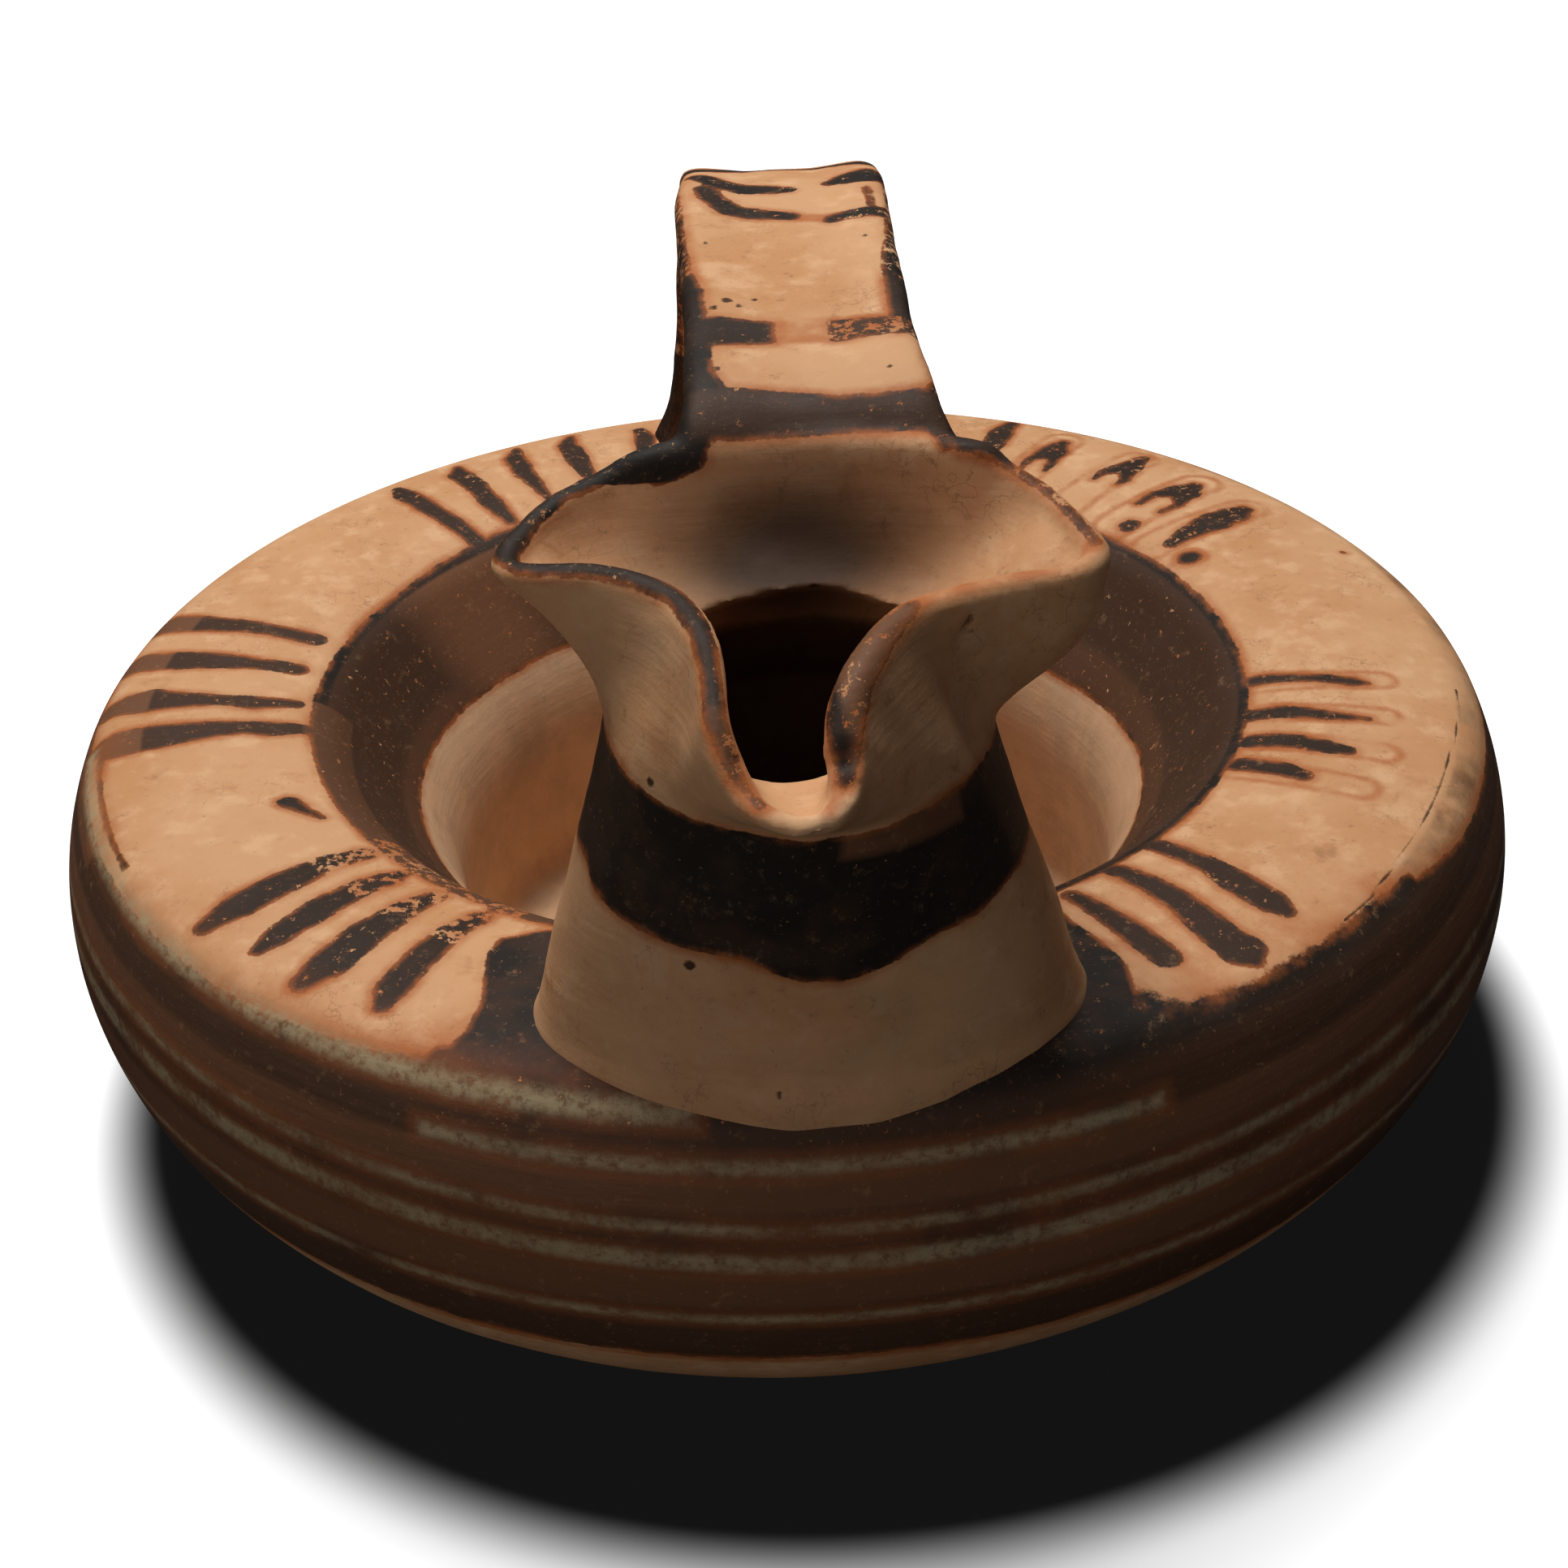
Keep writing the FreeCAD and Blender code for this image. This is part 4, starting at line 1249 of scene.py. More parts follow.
# Orange outlines along the rim: side, first and last station, full width
RIM_GHOSTS = ((True, 5, 11, 1.8), (False, 1, 4, 2.6), (True, 1, 4, 1.2))

# Marks of the making and of age: the middle, the reach and the depth of each dent
DENTS = (
    ((20.2, -60.0, 82.5), 4.5, 0.5), ((-14.0, -62.5, 79.0), 6.0, 0.3),
    ((2.4, -77.6, 80.4), 1.9, 0.9), ((2.6, -79.2, 79.4), 1.5, 0.7), ((-2.6, -47.0, 84.0), 4.0, 0.4),
    ((9.0, -50.5, 82.0), 4.5, 0.4), ((-20.5, -62.0, 84.6), 2.5, 0.3), ((0.4, -81.5, 76.8), 1.6, 0.5),
)
# The line, the width and the depth of each crack
CRACKS = (
    (((9.9, -66.2, 82.9), (12.1, -64.1, 82.1), (13.9, -62.9, 82.4)), 0.5, 0.3),
    (((12.8, -63.6, 83.3), (12.1, -64.1, 82.1), (11.6, -64.4, 80.9)), 0.6, 0.3),
    (((5.9, -76.4, 80.2), (5.0, -78.6, 78.9), (3.9, -80.2, 77.6)), 1.0, 0.4),
    (((-4.9, -76.7, 80.4), (-4.4, -78.6, 79.2), (-4.2, -80.0, 78.5)), 0.8, 0.3),
    (((-4.4, -79.4, 76.2), (-1.4, -81.4, 76.5), (1.6, -81.2, 76.7)), 0.35, 0.15),
    (((3.0, -52.5, 80.6), (-1.0, -50.8, 80.9), (-4.5, -51.5, 80.3)), 0.3, 0.15),
)
# The middle and the radius of each pit
PITS = (
    ((-11.7, -67.7, 73.2), 0.45), ((-9.6, -70.3, 58.1), 0.5), ((-3.2, -71.2, 45.6), 0.35),
    ((17.6, -57.6, 77.6), 0.4),
    ((-3.6, -26, 94.8), 0.5), ((-4.8, -27.4, 94.7), 0.4), ((-2.6, -27, 94.7), 0.35),
    ((-5.1, -13.3, 95.4), 0.3),
    ((9.1, -13.3, 95.4), 0.3), ((-1.3, -25.7, 94.6), 0.3), ((9, -38.9, 93.3), 0.3), ((-4.9, -38, 93.4), 0.4),
    ((21, -60, 78), 0.3),
)
# The size and the height of the slow waves that fingers leave in wet clay, and how they twist
HAND_WAVES = ((4.3, 0.16), (2.1, 0.07))
WAVE_TWIST = 0.7
CRACK_TAPER = 0.4

# How the outside of each wing leaves the waist and meets the rim, as shares across, forward and up
LEFT_LEAVE = np.array([0.30, 0.30, 0.40])
LEFT_ARRIVE = np.array([0.42, 0.42, 0.26])
RIGHT_LEAVE = np.array([0.85, 0.85, 0.28])
RIGHT_ARRIVE = np.array([0.04, 0.04, 0.44])
# How the bowl leaves the rim at the wings and at the back, as the same shares
WING_DROOP = np.array([0.50, 0.50, 0.24])
BACK_DROOP = np.array([0.16, 0.16, 0.66])
LEVEL = np.array([1.0, 1.0, 0.0])
UP = np.array([0.0, 0.0, 1.0])


@dataclass
class Spout:
    """The neck, the trefoil mouth and the strap handle, luted together and smoothed by hand."""

    ring_top: float
    axis_distance: float = 58.0
    foot_centre: float = 59.4
    foot_height: float = 44.3
    foot_half_width: float = 23.3
    foot_half_depth: float = 11.7
    waist_radius: float = 15.2
    waist_height: float = 71.0
    bore_radius: float = 12.0
    bore_height: float = 69.6
    bore_foot_half_width: float = 17.7
    bore_foot_half_depth: float = 6.7
    bore_foot_lift: float = 0.6
    bore_margin: float = 1.2
    crease_drift: float = -1.2
    drift_ahead: tuple[float, float] = (6.0, 11.0)
    crease_level: float = 0.40
    back_begins: tuple[float, float] = (-2.0, -10.0)
    throat_lip: float = 0.9
    throat_share_under: float = 0.15
    throat_share_low: float = 0.60
    gutter_rise: float = 0.06
    gutter_arrive: float = 0.5
    wing_across: tuple[float, float] = (5.0, 13.0)
    side_across: tuple[float, float] = (-10.0, 10.0)
    per_span: int = 6
    neck_levels: int = 16
    mouth_levels: int = 12
    rim_levels: int = 6
    bowl_levels: int = 12
    throat_levels: int = 8
    strap_per_span: int = 8
    strap_points: int = 44
    strap_squareness: float = 5.0
    grain: float = 0.49
    smoothing: int = 2
    smoothing_share: float = 0.5
    top_limit: float = 96.38
    crack_soft: float = 0.3
    neck_reach: float = 1.5
    band_gap: float = 0.2
    band_wear: float = 0.16
    wash_height: float = 68.6
    wash_turns: tuple[float, float] = (8.0, 50.0)
    wash_slope: float = 4.0
    wash_heights: tuple[float, float] = (64.0, 66.0)
    wash_brown: float = 0.9
    straight_bore_share: float = 0.6
    # Depths under the crease over which the painted shade in the throat comes in
    painted_shade_depths: tuple[float, float] = (0.3, 4.5)
    face_start: float = -45.9
    face_start_rows: int = 20
    bowl_side: float = -47.2
    bowl_side_near: tuple[float, float] = (1.0, -45.0)
    strap_reach: float = 6.5
    face_reach: float = 2.4
    face_begins: float = 0.5
    edges_begin: float = 2.8
    edge_wear: float = 0.16
    far_edge_wear: float = 0.45
    far_edge_begins: tuple[float, float] = (26.0, 32.0)
    # Painted shade in the mouth's bowl: its strength, the heights over which it comes in and its reach from
    # the neck's axis
    bowl_painted_shade: float = 0.45
    bowl_painted_shade_heights: tuple[float, float] = (92.0, 84.0)
    bowl_painted_shade_reach: tuple[float, float] = (22.0, 8.0)
    # A painted shadow in the hollow under the strap's end: its middle, how it is squeezed, its radius and its
    # soft edge
    hollow_place: tuple[float, float, float] = (0.5, -49.4, 81.8)
    hollow_shares: tuple[float, float, float] = (0.58, 1.0, 0.8)
    hollow_radius: float = 7.0
    hollow_soft: tuple[float, float] = (-2.8, 5.0)

    def stations(self) -> np.ndarray:
        """The rim's middle line and thickness, round from the lip by the right wing and the back."""
        table = np.array([LIP_PLACE, *RIGHT_RIM, BACK_PLACE, *reversed(LEFT_RIM)])
        return np.column_stack([table[:, 0], -self.axis_distance - table[:, 1], table[:, 2], table[:, 3]])

    def station_turns(self) -> np.ndarray:
        """Each station's turn round the neck, from the front to the right, in radians."""
        right = [math.pi * share for share in WAIST_TURNS]
        return np.array(right + [-turn for turn in right[-2:0:-1]])

    def creases(self) -> np.ndarray:
        """The crease between bowl and throat.

        Returns:
            Its place at every station.
        """
        half = np.array(CREASE)
        left = half[-2:0:-1] * (-1.0, 1.0, 1.0)
        table = np.vstack([half, left])
        drift = self.crease_drift * ease(table[:, 1], *self.drift_ahead)
        return np.column_stack([table[:, 0] + drift, -self.axis_distance - table[:, 1], table[:, 2]])

    def oval(self, turns: np.ndarray, half_width: float, half_depth: float, height: float,
             flare: float) -> np.ndarray:
        """A ring of points round the neck, bent along the vessel's ring where the neck is low.

        Args:
            turns: The turn of each point round the neck, in radians.
            half_width: Half the oval's width.
            half_depth: Half its depth.
            height: Its height.
            flare: How far up the neck it is, as a share.

        Returns:
            The points.
        """
        centre = self.foot_centre + (self.axis_distance - self.foot_centre) * flare
        across = half_width * np.sin(turns)
        out = centre + half_depth * np.cos(turns)
        bent = np.column_stack([out * np.sin(across / centre), -out * np.cos(across / centre)])
        straight = np.column_stack([across, -out])
        flat = bent + (straight - bent) * flare
        return np.column_stack([flat, np.full(len(turns), height)])

    def neck_rings(self, turns: np.ndarray) -> list[np.ndarray]:
        """The neck's outside.

        Args:
            turns: Each station's turn round the neck, in radians.

        Returns:
            Rings of points, from the foot that is sunk in the ring up to the waist.
        """
        rings = []
        for lift, out in FOOT_FILLET:
            share = max(lift, 0.0) / (self.waist_height - self.foot_height)
            rings.append(self.neck_oval(turns, share, out, self.ring_top + lift))
        low = rings[-1][0, 2]
        for height in np.linspace(low, self.waist_height, self.neck_levels + 1)[1:]:
            share = (height - self.foot_height) / (self.waist_height - self.foot_height)
            ring = self.neck_oval(turns, share, 0.0, height)
            climb = ease(height, self.foot_height, self.waist_height)
            ring[:, 2] += looked_up(np.degrees(turns), WAIST_LIFT) * climb
            rings.append(ring)
        return rings

    def neck_oval(self, turns: np.ndarray, share: float, out: float, height: float) -> np.ndarray:
        """The neck's outline.

        Args:
            turns: Each station's turn round the neck, in radians.
            share: The share of the neck's height.
            out: How far it is set out.
            height: The outline's height.

        Returns:
            The ring of points.
        """
        fit = np.polyfit([row[0] for row in NECK_FLARE], [row[1] for row in NECK_FLARE], len(NECK_FLARE) - 1)
        flare = float(np.polyval(fit, share))
        half_width = self.foot_half_width + (self.waist_radius - self.foot_half_width) * flare
        half_depth = self.foot_half_depth + (self.waist_radius - self.foot_half_depth) * flare
        return self.oval(turns, half_width + out, half_depth + out, height, flare)

    def mouth_rings(self, turns: np.ndarray) -> list[np.ndarray]:
        """The mouth's outside, its rim, its bowl and the throat down to the ring's top.

        Args:
            turns: Each station's turn round the neck, in radians.

        Returns:
            Rings of points, from just over the waist round the rim and down inside.
        """
        rim = self.stations()
        middle, thickness = rim[:, :3], rim[:, 3:] / 2
        forwards = np.roll(middle, -1, 0) - np.roll(middle, 1, 0)
        outwards = np.column_stack([forwards[:, 1], -forwards[:, 0], np.zeros(len(rim))])
        outwards /= np.linalg.norm(outwards, axis=1)[:, None]
        outer, inner = middle + outwards * thickness, middle - outwards * thickness
        crease = self.creases()
        rings = self.mouth_outside(turns, middle, outer)
        for turn in np.linspace(0.0, math.pi, self.rim_levels + 1)[1:-1]:
            rings.append(middle + outwards * thickness * math.cos(turn) + UP * thickness * math.sin(turn))
        inwards = crease - inner
        steep = ease(-(inner[:, 1] + self.axis_distance), *self.back_begins)[:, None]
        leave = inner + inwards * (WING_DROOP * (1 - steep) + BACK_DROOP * steep)
        arrive = crease - inwards * LEVEL * self.crease_level
        for share in np.linspace(0.0, 1.0, self.bowl_levels + 1):
            rings.append(self.bezier(inner, leave, arrive, crease, share))
        return rings + self.throat_rings(turns, crease)

    def mouth_outside(self, turns: np.ndarray, middle: np.ndarray, outer: np.ndarray) -> list[np.ndarray]:
        """The mouth's outside from the waist to the rim.

        Args:
            turns: Each station's turn round the neck, in radians.
            middle: The rim's middle line.
            outer: The rim's outer line.

        Returns:
            Rings of points.
        """
        waist = self.oval(turns, self.waist_radius, self.waist_radius, self.waist_height, 1.0)
        waist[:, 2] += looked_up(np.degrees(turns), WAIST_LIFT)
        climb = outer - waist
        length = np.linalg.norm(climb, axis=1)[:, None]
        straight = ease(np.abs(middle[:, :1]), *self.wing_across)
        right_side = ease(middle[:, :1], *self.side_across)
        leaving = LEFT_LEAVE + (RIGHT_LEAVE - LEFT_LEAVE) * right_side
        arriving = LEFT_ARRIVE + (RIGHT_ARRIVE - LEFT_ARRIVE) * right_side
        leave = waist + UP * length * self.gutter_rise * (1 - straight) + climb * leaving * straight
        arrive = outer - climb * (self.gutter_arrive * (1 - straight) + arriving * straight)
        shares = np.linspace(0.0, 1.0, self.mouth_levels + 1)[1:]
        return [self.bezier(waist, leave, arrive, outer, share) for share in shares]

    def throat_rings(self, turns: np.ndarray, crease: np.ndarray) -> list[np.ndarray]:
        """The throat from under the crease down to the ring's top.

        Args:
            turns: Each station's turn round the neck, in radians.
            crease: The crease between bowl and throat at every station.

        Returns:
            Rings of points.
        """
        bore = self.oval(turns, self.bore_radius, self.bore_radius, self.bore_height, 1.0)
        under = crease * (1 - self.throat_share_under) + bore * self.throat_share_under
        fall = np.linalg.norm(bore - crease, axis=1)[:, None]
        under[:, :2] += (bore - crease)[:, :2] / fall * self.throat_lip
        low = crease * (1 - self.throat_share_low) + bore * self.throat_share_low
        rings = [under, low, bore]
        foot = self.ring_top + self.bore_foot_lift
        for share in np.linspace(1.0, 0.0, self.throat_levels + 1)[1:]:
            height = foot + (self.bore_height - foot) * share
            rings.append(self.oval(turns, *self.bore_size(share), height, share))
        return rings

    def bore_size(self, share: float | np.ndarray) -> tuple[float | np.ndarray, float | np.ndarray]:
        """The bore's size.

        Args:
            share: The share of its height.

        Returns:
            Half its width and half its depth.
        """
        half_width = self.bore_foot_half_width + (self.bore_radius - self.bore_foot_half_width) * share
        half_depth = self.bore_foot_half_depth + (self.bore_radius - self.bore_foot_half_depth) * share
        return half_width, half_depth

    @staticmethod
    def bezier(start: np.ndarray, leave: np.ndarray, arrive: np.ndarray, end: np.ndarray,
               share: float) -> np.ndarray:
        """A place on each of many curves.

        Args:
            start: Where the curves start.
            leave: What they leave towards.
            arrive: What they arrive from.
            end: Where they end.
            share: The share of the way.

        Returns:
            The places, one row each.
        """
        back = 1.0 - share
        leaving, arriving = 3 * back ** 2 * share * leave, 3 * back * share ** 2 * arrive
        return back ** 3 * start + leaving + arriving + share ** 3 * end

    def strap_rings(self) -> list[np.ndarray]:
        """The strap's sections, each a soft-cornered slab whose face is a little hollow.

        Returns:
            Rings of points, from the mouth to the far side of the ring.
        """
        table = along(np.array(STRAP_STATIONS), self.strap_per_span)
        tangents = np.gradient(table[:, :2], axis=0)
        tangents /= np.linalg.norm(tangents, axis=1)[:, None]
        turns = (np.arange(self.strap_points) + 0.5) / self.strap_points * math.tau
        power = 2.0 / self.strap_squareness
        side = np.sign(np.cos(turns)) * np.abs(np.cos(turns)) ** power
        rise = np.sign(np.sin(turns)) * np.abs(np.sin(turns)) ** power
        rings = []
        for (behind, height, left, right, thickness, lift), (run, climb) in zip(table, tangents):
            outwards = np.array([0.0, -climb, run])
            across = (left + right) / 2 + side * (right - left) / 2
            out = (rise - 1) * thickness / 2 + lift * np.clip(rise, 0, 1) * side ** 2
            ring = np.column_stack([across, np.full(len(turns), behind), np.full(len(turns), height)])
            rings.append(ring + out[:, None] * outwards)
        return rings

    def build(self, finish: bpy.types.Material) -> bpy.types.Object:
        """Makes and paints the neck, mouth and handle as one luted piece.

        Args:
            finish: The piece's material.

        Returns:
            The piece.
        """
        turns = self.station_turns()
        rings = [around(ring, self.per_span) for ring in self.neck_rings(turns) + self.mouth_rings(turns)]
        neck_points, neck_faces = net(rings)
        strap_points, strap_faces = net([ring[::-1] for ring in self.strap_rings()])
        shifted = [[index + len(neck_points) for index in face] for face in strap_faces]
        piece = make_mesh("spout_and_handle", np.vstack([neck_points, strap_points]), neck_faces + shifted)
        remesh = piece.modifiers.new("luted", "REMESH")
        remesh.mode = "VOXEL"
        remesh.voxel_size = self.grain * MM
        remesh.use_smooth_shade = True
        soften = piece.modifiers.new("smoothed by hand", "SMOOTH")
        soften.factor = self.smoothing_share
        soften.iterations = self.smoothing
        bake(piece)
        self.work_by_hand(piece)
        piece.data.materials.append(finish)
        self.paint(piece)
        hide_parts("neck_foot_coil", "neck", "trefoil_mouth", "handle_front_root", "strap_handle",
                    "handle_rear_root")
        return piece

    def work_by_hand(self, piece: bpy.types.Object) -> None:
        """Presses finger marks, dents and cracks into the piece and keeps it under the handle's height.

        Args:
            piece: The piece as it comes from the remesh.
        """
        places = places_of(piece)
        normals = normals_of(piece)
        uneven = np.zeros(len(places))
        for size, lift in HAND_WAVES:
            twisted = np.roll(places, 1, axis=1) / size * WAVE_TWIST
            uneven += lift * np.sin(places / size + twisted).prod(axis=1)
        places = places - normals * np.abs(uneven)[:, None]
        for middle, radius, depth in DENTS:
            gap = np.linalg.norm(places - np.array(middle), axis=1)
            places = places - normals * (depth * ease(gap, radius, 0.0))[:, None]
        for line, width, depth in CRACKS:
            inside = self.crack_depth(places, line, width)
            places = places - normals * (depth * ease(inside, -self.crack_soft, self.crack_soft))[:, None]
        places[:, 2] = np.minimum(places[:, 2], self.top_limit)
        move_vertices(piece, places)

    @staticmethod
    def crack_depth(places: np.ndarray, line: Table, width: float) -> np.ndarray:
        """How deep each place lies inside a crack that tapers towards its end.

        Args:
            places: The places, one row each.
            line: The crack's line.
            width: Its width at the start.

        Returns:
            The depth in millimetres.
        """
        return stroke_depth(places, np.array(line), np.linspace(width, width * CRACK_TAPER, len(line)))

    def paint(self, piece: bpy.types.Object) -> None:
        """Paints the neck's band, the rim and the strap, and darkens cracks and pits.

        Args:
            piece: The luted piece.
        """
        painting = Painting(piece)
        self.paint_neck(painting)
        self.paint_rim(painting)
        self.paint_strap(painting)
        for line, width, _ in CRACKS:
            painting.cover(Layer.CRACK, self.crack_depth(painting.places, line, width))
        for middle, radius in PITS:
            painting.cover(Layer.CRACK, dab_depth(painting.places, middle, radius))
        painting.store()

    def paint_neck(self, painting: Painting) -> None:
        """The dark band round the waist and the painted shade in the throat.

        Args:
            painting: The piece's layers.
        """
        places = painting.places
        behind = places[:, 1] + self.axis_distance
        turn = np.degrees(np.arctan2(places[:, 0], -behind))
        height = places[:, 2]
        neck = np.where(places[:, 1] < -self.axis_distance + self.waist_radius + self.neck_reach, 0.0, FAR)
        foot = looked_up(turn, NECK_BAND_FOOT)
        top = self.waist_height - self.band_gap + looked_up(turn, WAIST_LIFT)
        outwards = np.hypot(places[:, 0], behind) > self.bore_radius + self.bore_margin
        band = np.where(outwards, np.minimum(height - foot, top - height), FAR)
        painting.cover(Layer.SLIP, band + neck)
        painting.tint(Layer.WEAR, ease(band, *BAND_SOFT) * self.band_wear)
        start, end = self.wash_turns
        wash = np.minimum(height - self.wash_height, np.minimum(turn - start, end - turn) / self.wash_slope)
        lower = ease(height, *self.wash_heights)
        painting.tint(Layer.BROWN, ease(wash, *WASH_SOFT) * self.wash_brown * lower)
        self.darken_throat(painting, turn, behind)

    def darken_throat(self, painting: Painting, turn: np.ndarray, behind: np.ndarray) -> None:
        """Painted shade in the throat, under the bowl's crease.

        Args:
            painting: The piece's layers.
            turn: Each vertex's turn round the neck, in degrees.
            behind: How far it is behind the neck's axis.
        """
        places = painting.places
        crease = self.creases()
        crease_turns = np.degrees(np.arctan2(crease[:, 0], -crease[:, 1] - self.axis_distance))
        order = np.argsort(crease_turns)
        edge = np.interp(turn, crease_turns[order], crease[order, 2], period=TURN)
        share = np.clip((places[:, 2] - self.ring_top) / (self.bore_height - self.ring_top), 0.0, 1.0)
        half_width, half_depth = self.bore_size(share)
        out = np.hypot(places[:, 0], places[:, 1]) - self.axis_distance
        ahead = np.where(share < self.straight_bore_share, out, -behind)
        across = places[:, 0] / (half_width + self.bore_margin)
        inside = across ** 2 + (ahead / (half_depth + self.bore_margin)) ** 2 < 1.0
        painting.tint(Layer.PAINTED_SHADE, np.where(inside, ease(edge - places[:, 2], *self.painted_shade_depths), 0.0))

    def paint_rim(self, painting: Painting) -> None:
        """Paint along the rim: full on the left wing, worn on the gutter, nearly gone on the right.

        Args:
            painting: The piece's layers.
        """
        stations = self.stations()
        rim = stations[:, :3] + stations[:, 3:] / 2 * UP
        half = len(CREASE)
        sides = {True: rim[:half], False: rim[[0, *range(len(rim) - 1, half - 2, -1)]]}
        for right, first, widths, wear, brown in RIM_RUNS:
            line = sides[right][first:first + len(widths)]
            painting.brush(stroke_depth(painting.places, line, np.array(widths)), wear, brown, RIM_SOFT)
        for right, first, last, width in RIM_GHOSTS:
            line = sides[right][first:last]
            painting.cover(Layer.GHOST, stroke_depth(painting.places, line, np.full(len(line), width)))

    def paint_strap(self, painting: Painting) -> None:
        """The strap's dark edges, its bars, the strokes over its crest and the soil under its end.

        Args:
            painting: The piece's layers.
        """
        table = along(np.array(STRAP_STATIONS), self.strap_per_span)
        places = painting.places
        way, nearest, reach = self.along_strap(places, table[:, :2])
        across = places[:, 0]
        left, right = table[nearest, 2], table[nearest, 3]
        near_way, near_place = self.bowl_side_near
        in_bowl = (places[:, 1] < self.bowl_side) | ((way < near_way) & (places[:, 1] < near_place))
        on_strap = np.where((reach < self.strap_reach) & (way > self.face_begins) & ~in_bowl, 0.0, FAR)
        on_face = np.where(reach < self.face_reach, on_strap, FAR)
        flat = np.column_stack([across, way])

        def drawn(stroke: Table) -> np.ndarray:
            """How deep each vertex lies in a stroke on the face, of places across, along and widths."""
            line = np.array([(place, reached) for place, reached, _ in stroke])
            return stroke_depth(flat, line, np.array([width for *_, width in stroke])) + on_face

        edges = np.maximum(
            left + looked_up(way, LEFT_EDGE_WIDTH) - across,
            across - right + looked_up(way, RIGHT_EDGE_WIDTH),
        )
        edges = np.where(way > self.edges_begin, edges, FAR) + on_strap
        wear = ease(way, *self.far_edge_begins) * self.far_edge_wear + self.edge_wear
        painting.brush(edges, wear, 0.0, FACE_SOFT)
        for bar, wear, brown in BARS:
            near, far = looked_up(across, bar), looked_up(across, bar, 2)
            between = np.minimum(across - bar[0][0], bar[-1][0] - across)
            depth = np.minimum(np.minimum(way - near, far - way), between) + on_face
            painting.brush(depth, wear, 0.0, FACE_SOFT)
            painting.tint(Layer.BROWN, ease(depth, *BAR_BROWN_SOFT) * brown)
        left, right, near, far = FACE_WASH
        wash = np.minimum(np.minimum(way - near, far - way), np.minimum(across - left, right - across))
        painting.cover(Layer.GHOST, wash + on_face)
        for stroke, wear in FACE_STROKES:
            painting.brush(drawn(stroke), wear, 0.0, FACE_SOFT)
        painting.cover(Layer.GHOST, drawn(FACE_GHOST))
        lump = np.array(LUMP)
        painting.cover(Layer.SLIP, stroke_depth(places, lump[:, :3], lump[:, 3]))
        self.shade_bowl(painting)

    def along_strap(self, places: np.ndarray, face: np.ndarray) -> tuple[np.ndarray, np.ndarray, np.ndarray]:
        """Finds places on the strap's face.

        Args:
            places: The places, one row each.
            face: The face's line, as distance behind the ring's axis and height.

        Returns:
            How far along the face each place is, its nearest row of the line and how far that is.
        """
        run = np.concatenate([[0.0], np.cumsum(np.linalg.norm(np.diff(face, axis=0), axis=1))])
        first = slice(self.face_start_rows)
        start = np.interp(self.face_start, face[first, 0], run[first])
        gap = np.linalg.norm(places[:, None, 1:] - face[None, ::2], axis=2)
        nearest = gap.argmin(1) * 2
        tangent = face[np.minimum(nearest + 1, len(face) - 1)] - face[np.maximum(nearest - 1, 0)]
        tangent /= np.linalg.norm(tangent, axis=1)[:, None]
        way = run[nearest] - start + ((places[:, 1:] - face[nearest]) * tangent).sum(1)
        return way, nearest, gap.min(1)

    def shade_bowl(self, painting: Painting) -> None:
        """Painted shade in the mouth's bowl, and a darker painted shadow in the hollow under the strap's end.

        Args:
            painting: The piece's layers.
        """
        places = painting.places
        # Painted shade, darker low in the bowl and near the neck's axis
        out = np.hypot(places[:, 0], places[:, 1] + self.axis_distance)
        soil_and_shade = ease(places[:, 2], *self.bowl_painted_shade_heights) * ease(out, *self.bowl_painted_shade_reach)
        painting.tint(Layer.DIRT_AND_SHADE, soil_and_shade * self.bowl_painted_shade)
        # Painted shadow in the hollow under the strap's end
        shares = np.array(self.hollow_shares)
        hollow = dab_depth(places * shares, self.hollow_place * shares, self.hollow_radius)
        painting.tint(Layer.PAINTED_SHADE, ease(hollow, *self.hollow_soft))


# Set, light and camera

class View(Enum):
    """What the floor and the sky show to the camera and what they give to the object."""

    SHOWN = tone(255, 255, 255)
    GIVEN = tone(62, 60, 58)
    # Dark of the painted shadow under the vessel
    PAINTED_SHADOW = tone(22, 22, 22)
    SKY = tone(74, 74, 78)


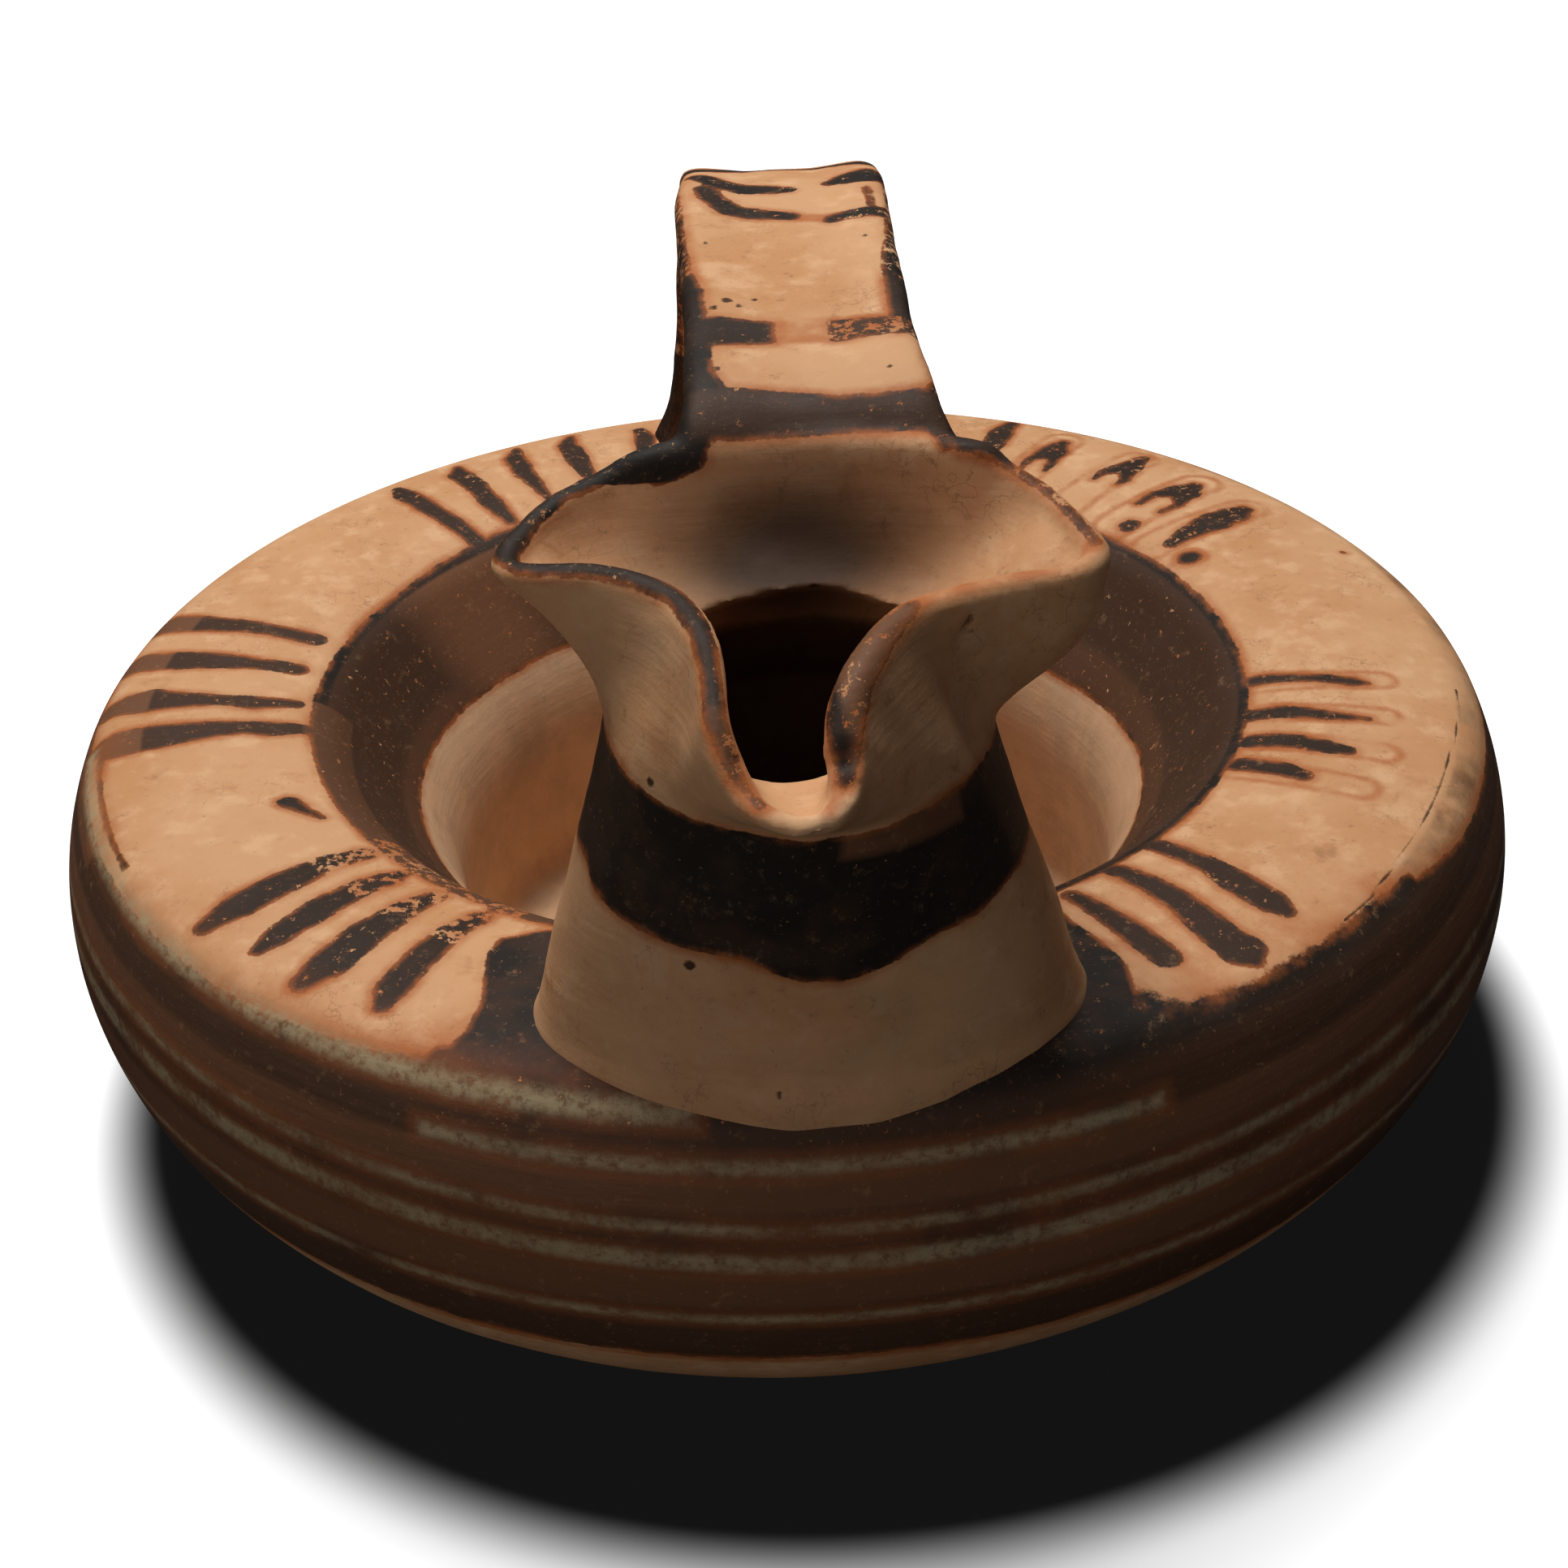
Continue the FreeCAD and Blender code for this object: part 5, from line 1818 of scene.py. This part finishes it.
@dataclass
class Stage:
    """A pale floor under a soft light from above, and the camera of the photograph."""

    floor_half: float = 2600.0
    floor_drop: float = 0.05
    floor_lift: float = 0.5
    shadow_lift: float = 0.006
    shadow_middle: tuple[float, float, float] = (3.0, -2.0, 0.0)
    shadow_radius: float = 78.0
    shadow_softness: float = 4.5
    camera_distance: float = 260.0
    camera_height: float = 30.4
    camera_rise: float = 31.83
    camera_turn: float = 1.4
    camera_roll: float = -2.57
    lens: float = 55.47
    sensor: float = 36.0
    near_clip: float = 10.0
    lamp_height: float = 760.0
    lamp_size: float = 340.0
    lamp_power: float = 5.4
    lamp_offset: tuple[float, float] = (-80.0, 200.0)
    fill_height: float = 210.0
    fill_size: float = 600.0
    fill_power: float = 0.72
    fill_offset: tuple[float, float] = (-320.0, -600.0)

    def build(self) -> None:
        """Sets the floor, the lights, the sky and the camera."""
        self.floor()
        self.lamp("overhead_lamp", self.lamp_offset, self.lamp_height, self.lamp_size, self.lamp_power)
        self.lamp("front_fill", self.fill_offset, self.fill_height, self.fill_size, self.fill_power)
        self.sky()
        self.camera()

    def floor(self) -> None:
        """A floor that looks pale but throws little light back, as the dark table of the photograph."""
        half, level = self.floor_half, -self.floor_drop
        corners = [(-half, -half, level), (half, -half, level), (half, half, level), (-half, half, level)]
        floor = make_mesh("floor", np.array(corners), [[0, 1, 2, 3]])
        material = bpy.data.materials.new("pale floor")
        material.use_nodes = True
        material.node_tree.nodes.clear()
        web = Web(material.node_tree)
        seen = web.node("ShaderNodeLightPath").outputs["Is Camera Ray"]
        spot = web.node("ShaderNodeTexCoord").outputs["Object"]
        # A painted shadow: a soft dark disc on the floor under the vessel, where the floor also glows less
        middle = tuple(place * MM for place in self.shadow_middle)
        where = web.node("ShaderNodeVectorMath", {0: spot, 1: middle}, operation="SUBTRACT").outputs[0]
        gap = web.node("ShaderNodeVectorMath", {0: where}, operation="LENGTH").outputs["Value"]
        edge = (self.shadow_radius - self.shadow_softness, self.shadow_radius + self.shadow_softness)
        clear = web.rise(gap, edge[0] * MM, edge[1] * MM)
        shown = web.mix(clear, View.PAINTED_SHADOW.value, View.SHOWN.value)
        diffuse = web.node("ShaderNodeBsdfDiffuse", {"Color": web.mix(seen, View.GIVEN.value, shown)})
        lift = web.sum("MULTIPLY_ADD", clear, self.floor_lift, self.shadow_lift)
        strength = web.sum("MULTIPLY", lift, seen)
        glow = web.node("ShaderNodeEmission", {"Color": View.SHOWN.value, "Strength": strength})
        both = web.node("ShaderNodeAddShader", {0: diffuse.outputs[0], 1: glow.outputs[0]})
        web.node("ShaderNodeOutputMaterial", {"Surface": both.outputs[0]})
        floor.data.materials.append(material)

    def lamp(self, name: str, offset: tuple[float, float], height: float, size: float, power: float) -> None:
        """A square soft lamp that looks at the vessel.

        Args:
            name: The lamp's name.
            offset: Where it hangs, across and behind the vessel's axis.
            height: Its height.
            size: The length of its side.
            power: Its power in watts.
        """
        light = bpy.data.lights.new(name, "AREA")
        light.size = size * MM
        light.energy = power
        lamp = bpy.data.objects.new(name, light)
        lamp.location = Vector((*offset, height)) * MM
        lamp.rotation_euler = (-lamp.location).to_track_quat("-Z", "Y").to_euler()
        bpy.context.scene.collection.objects.link(lamp)

    def sky(self) -> None:
        """A plain sky: pale to the camera and dim to the object."""
        world = bpy.data.worlds.new("studio")
        world.use_nodes = True
        world.node_tree.nodes.clear()
        web = Web(world.node_tree)
        seen = web.node("ShaderNodeLightPath").outputs["Is Camera Ray"]
        colour = web.mix(seen, View.SKY.value, View.SHOWN.value)
        back = web.node("ShaderNodeBackground", {"Color": colour, "Strength": 1.0})
        web.node("ShaderNodeOutputWorld", {"Surface": back.outputs[0]})
        bpy.context.scene.world = world

    def camera(self) -> None:
        """The photograph's camera."""
        rise, turn = math.radians(self.camera_rise), math.radians(-self.camera_turn)
        back = Vector((math.sin(turn) * math.cos(rise), -math.cos(turn) * math.cos(rise), math.sin(rise)))
        right = Vector((math.cos(turn), math.sin(turn), 0.0))
        up = back.cross(right)
        roll = math.radians(-self.camera_roll)
        tilted_right = right * math.cos(roll) - up * math.sin(roll)
        tilted_up = up * math.cos(roll) + right * math.sin(roll)
        place = (Vector((0.0, 0.0, self.camera_height)) + back * self.camera_distance) * MM
        data = bpy.data.cameras.new("camera")
        data.lens = self.lens
        data.sensor_width = self.sensor
        data.clip_start = self.near_clip * MM
        camera = bpy.data.objects.new("camera", data)
        turned = Matrix((tilted_right, tilted_up, back)).transposed().to_4x4()
        camera.matrix_world = Matrix.Translation(place) @ turned
        bpy.context.scene.collection.objects.link(camera)
        bpy.context.scene.camera = camera


def main() -> None:
    """Builds the vessel piece by piece, then its set."""
    logging.basicConfig(level=logging.INFO, format="%(name)s: %(message)s")
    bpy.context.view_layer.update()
    finish = FiredClay().build()
    belly_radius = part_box("outer_bowl")[1].x / MM
    ring = RingBody(belly_radius=belly_radius)
    pieces = ring.build(finish)
    spout = Spout(ring_top=ring.well_edge_height + ring.top_crown)
    pieces.append(spout.build(finish))
    for piece in pieces:
        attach(piece, "root")
        piece.data.calc_loop_triangles()
        log.info("%s: %d triangles", piece.name, len(piece.data.loop_triangles))
    stage = Stage()
    stage.build()
    bpy.context.scene.view_settings.view_transform = "Standard"


if __name__ == "__main__":
    main()
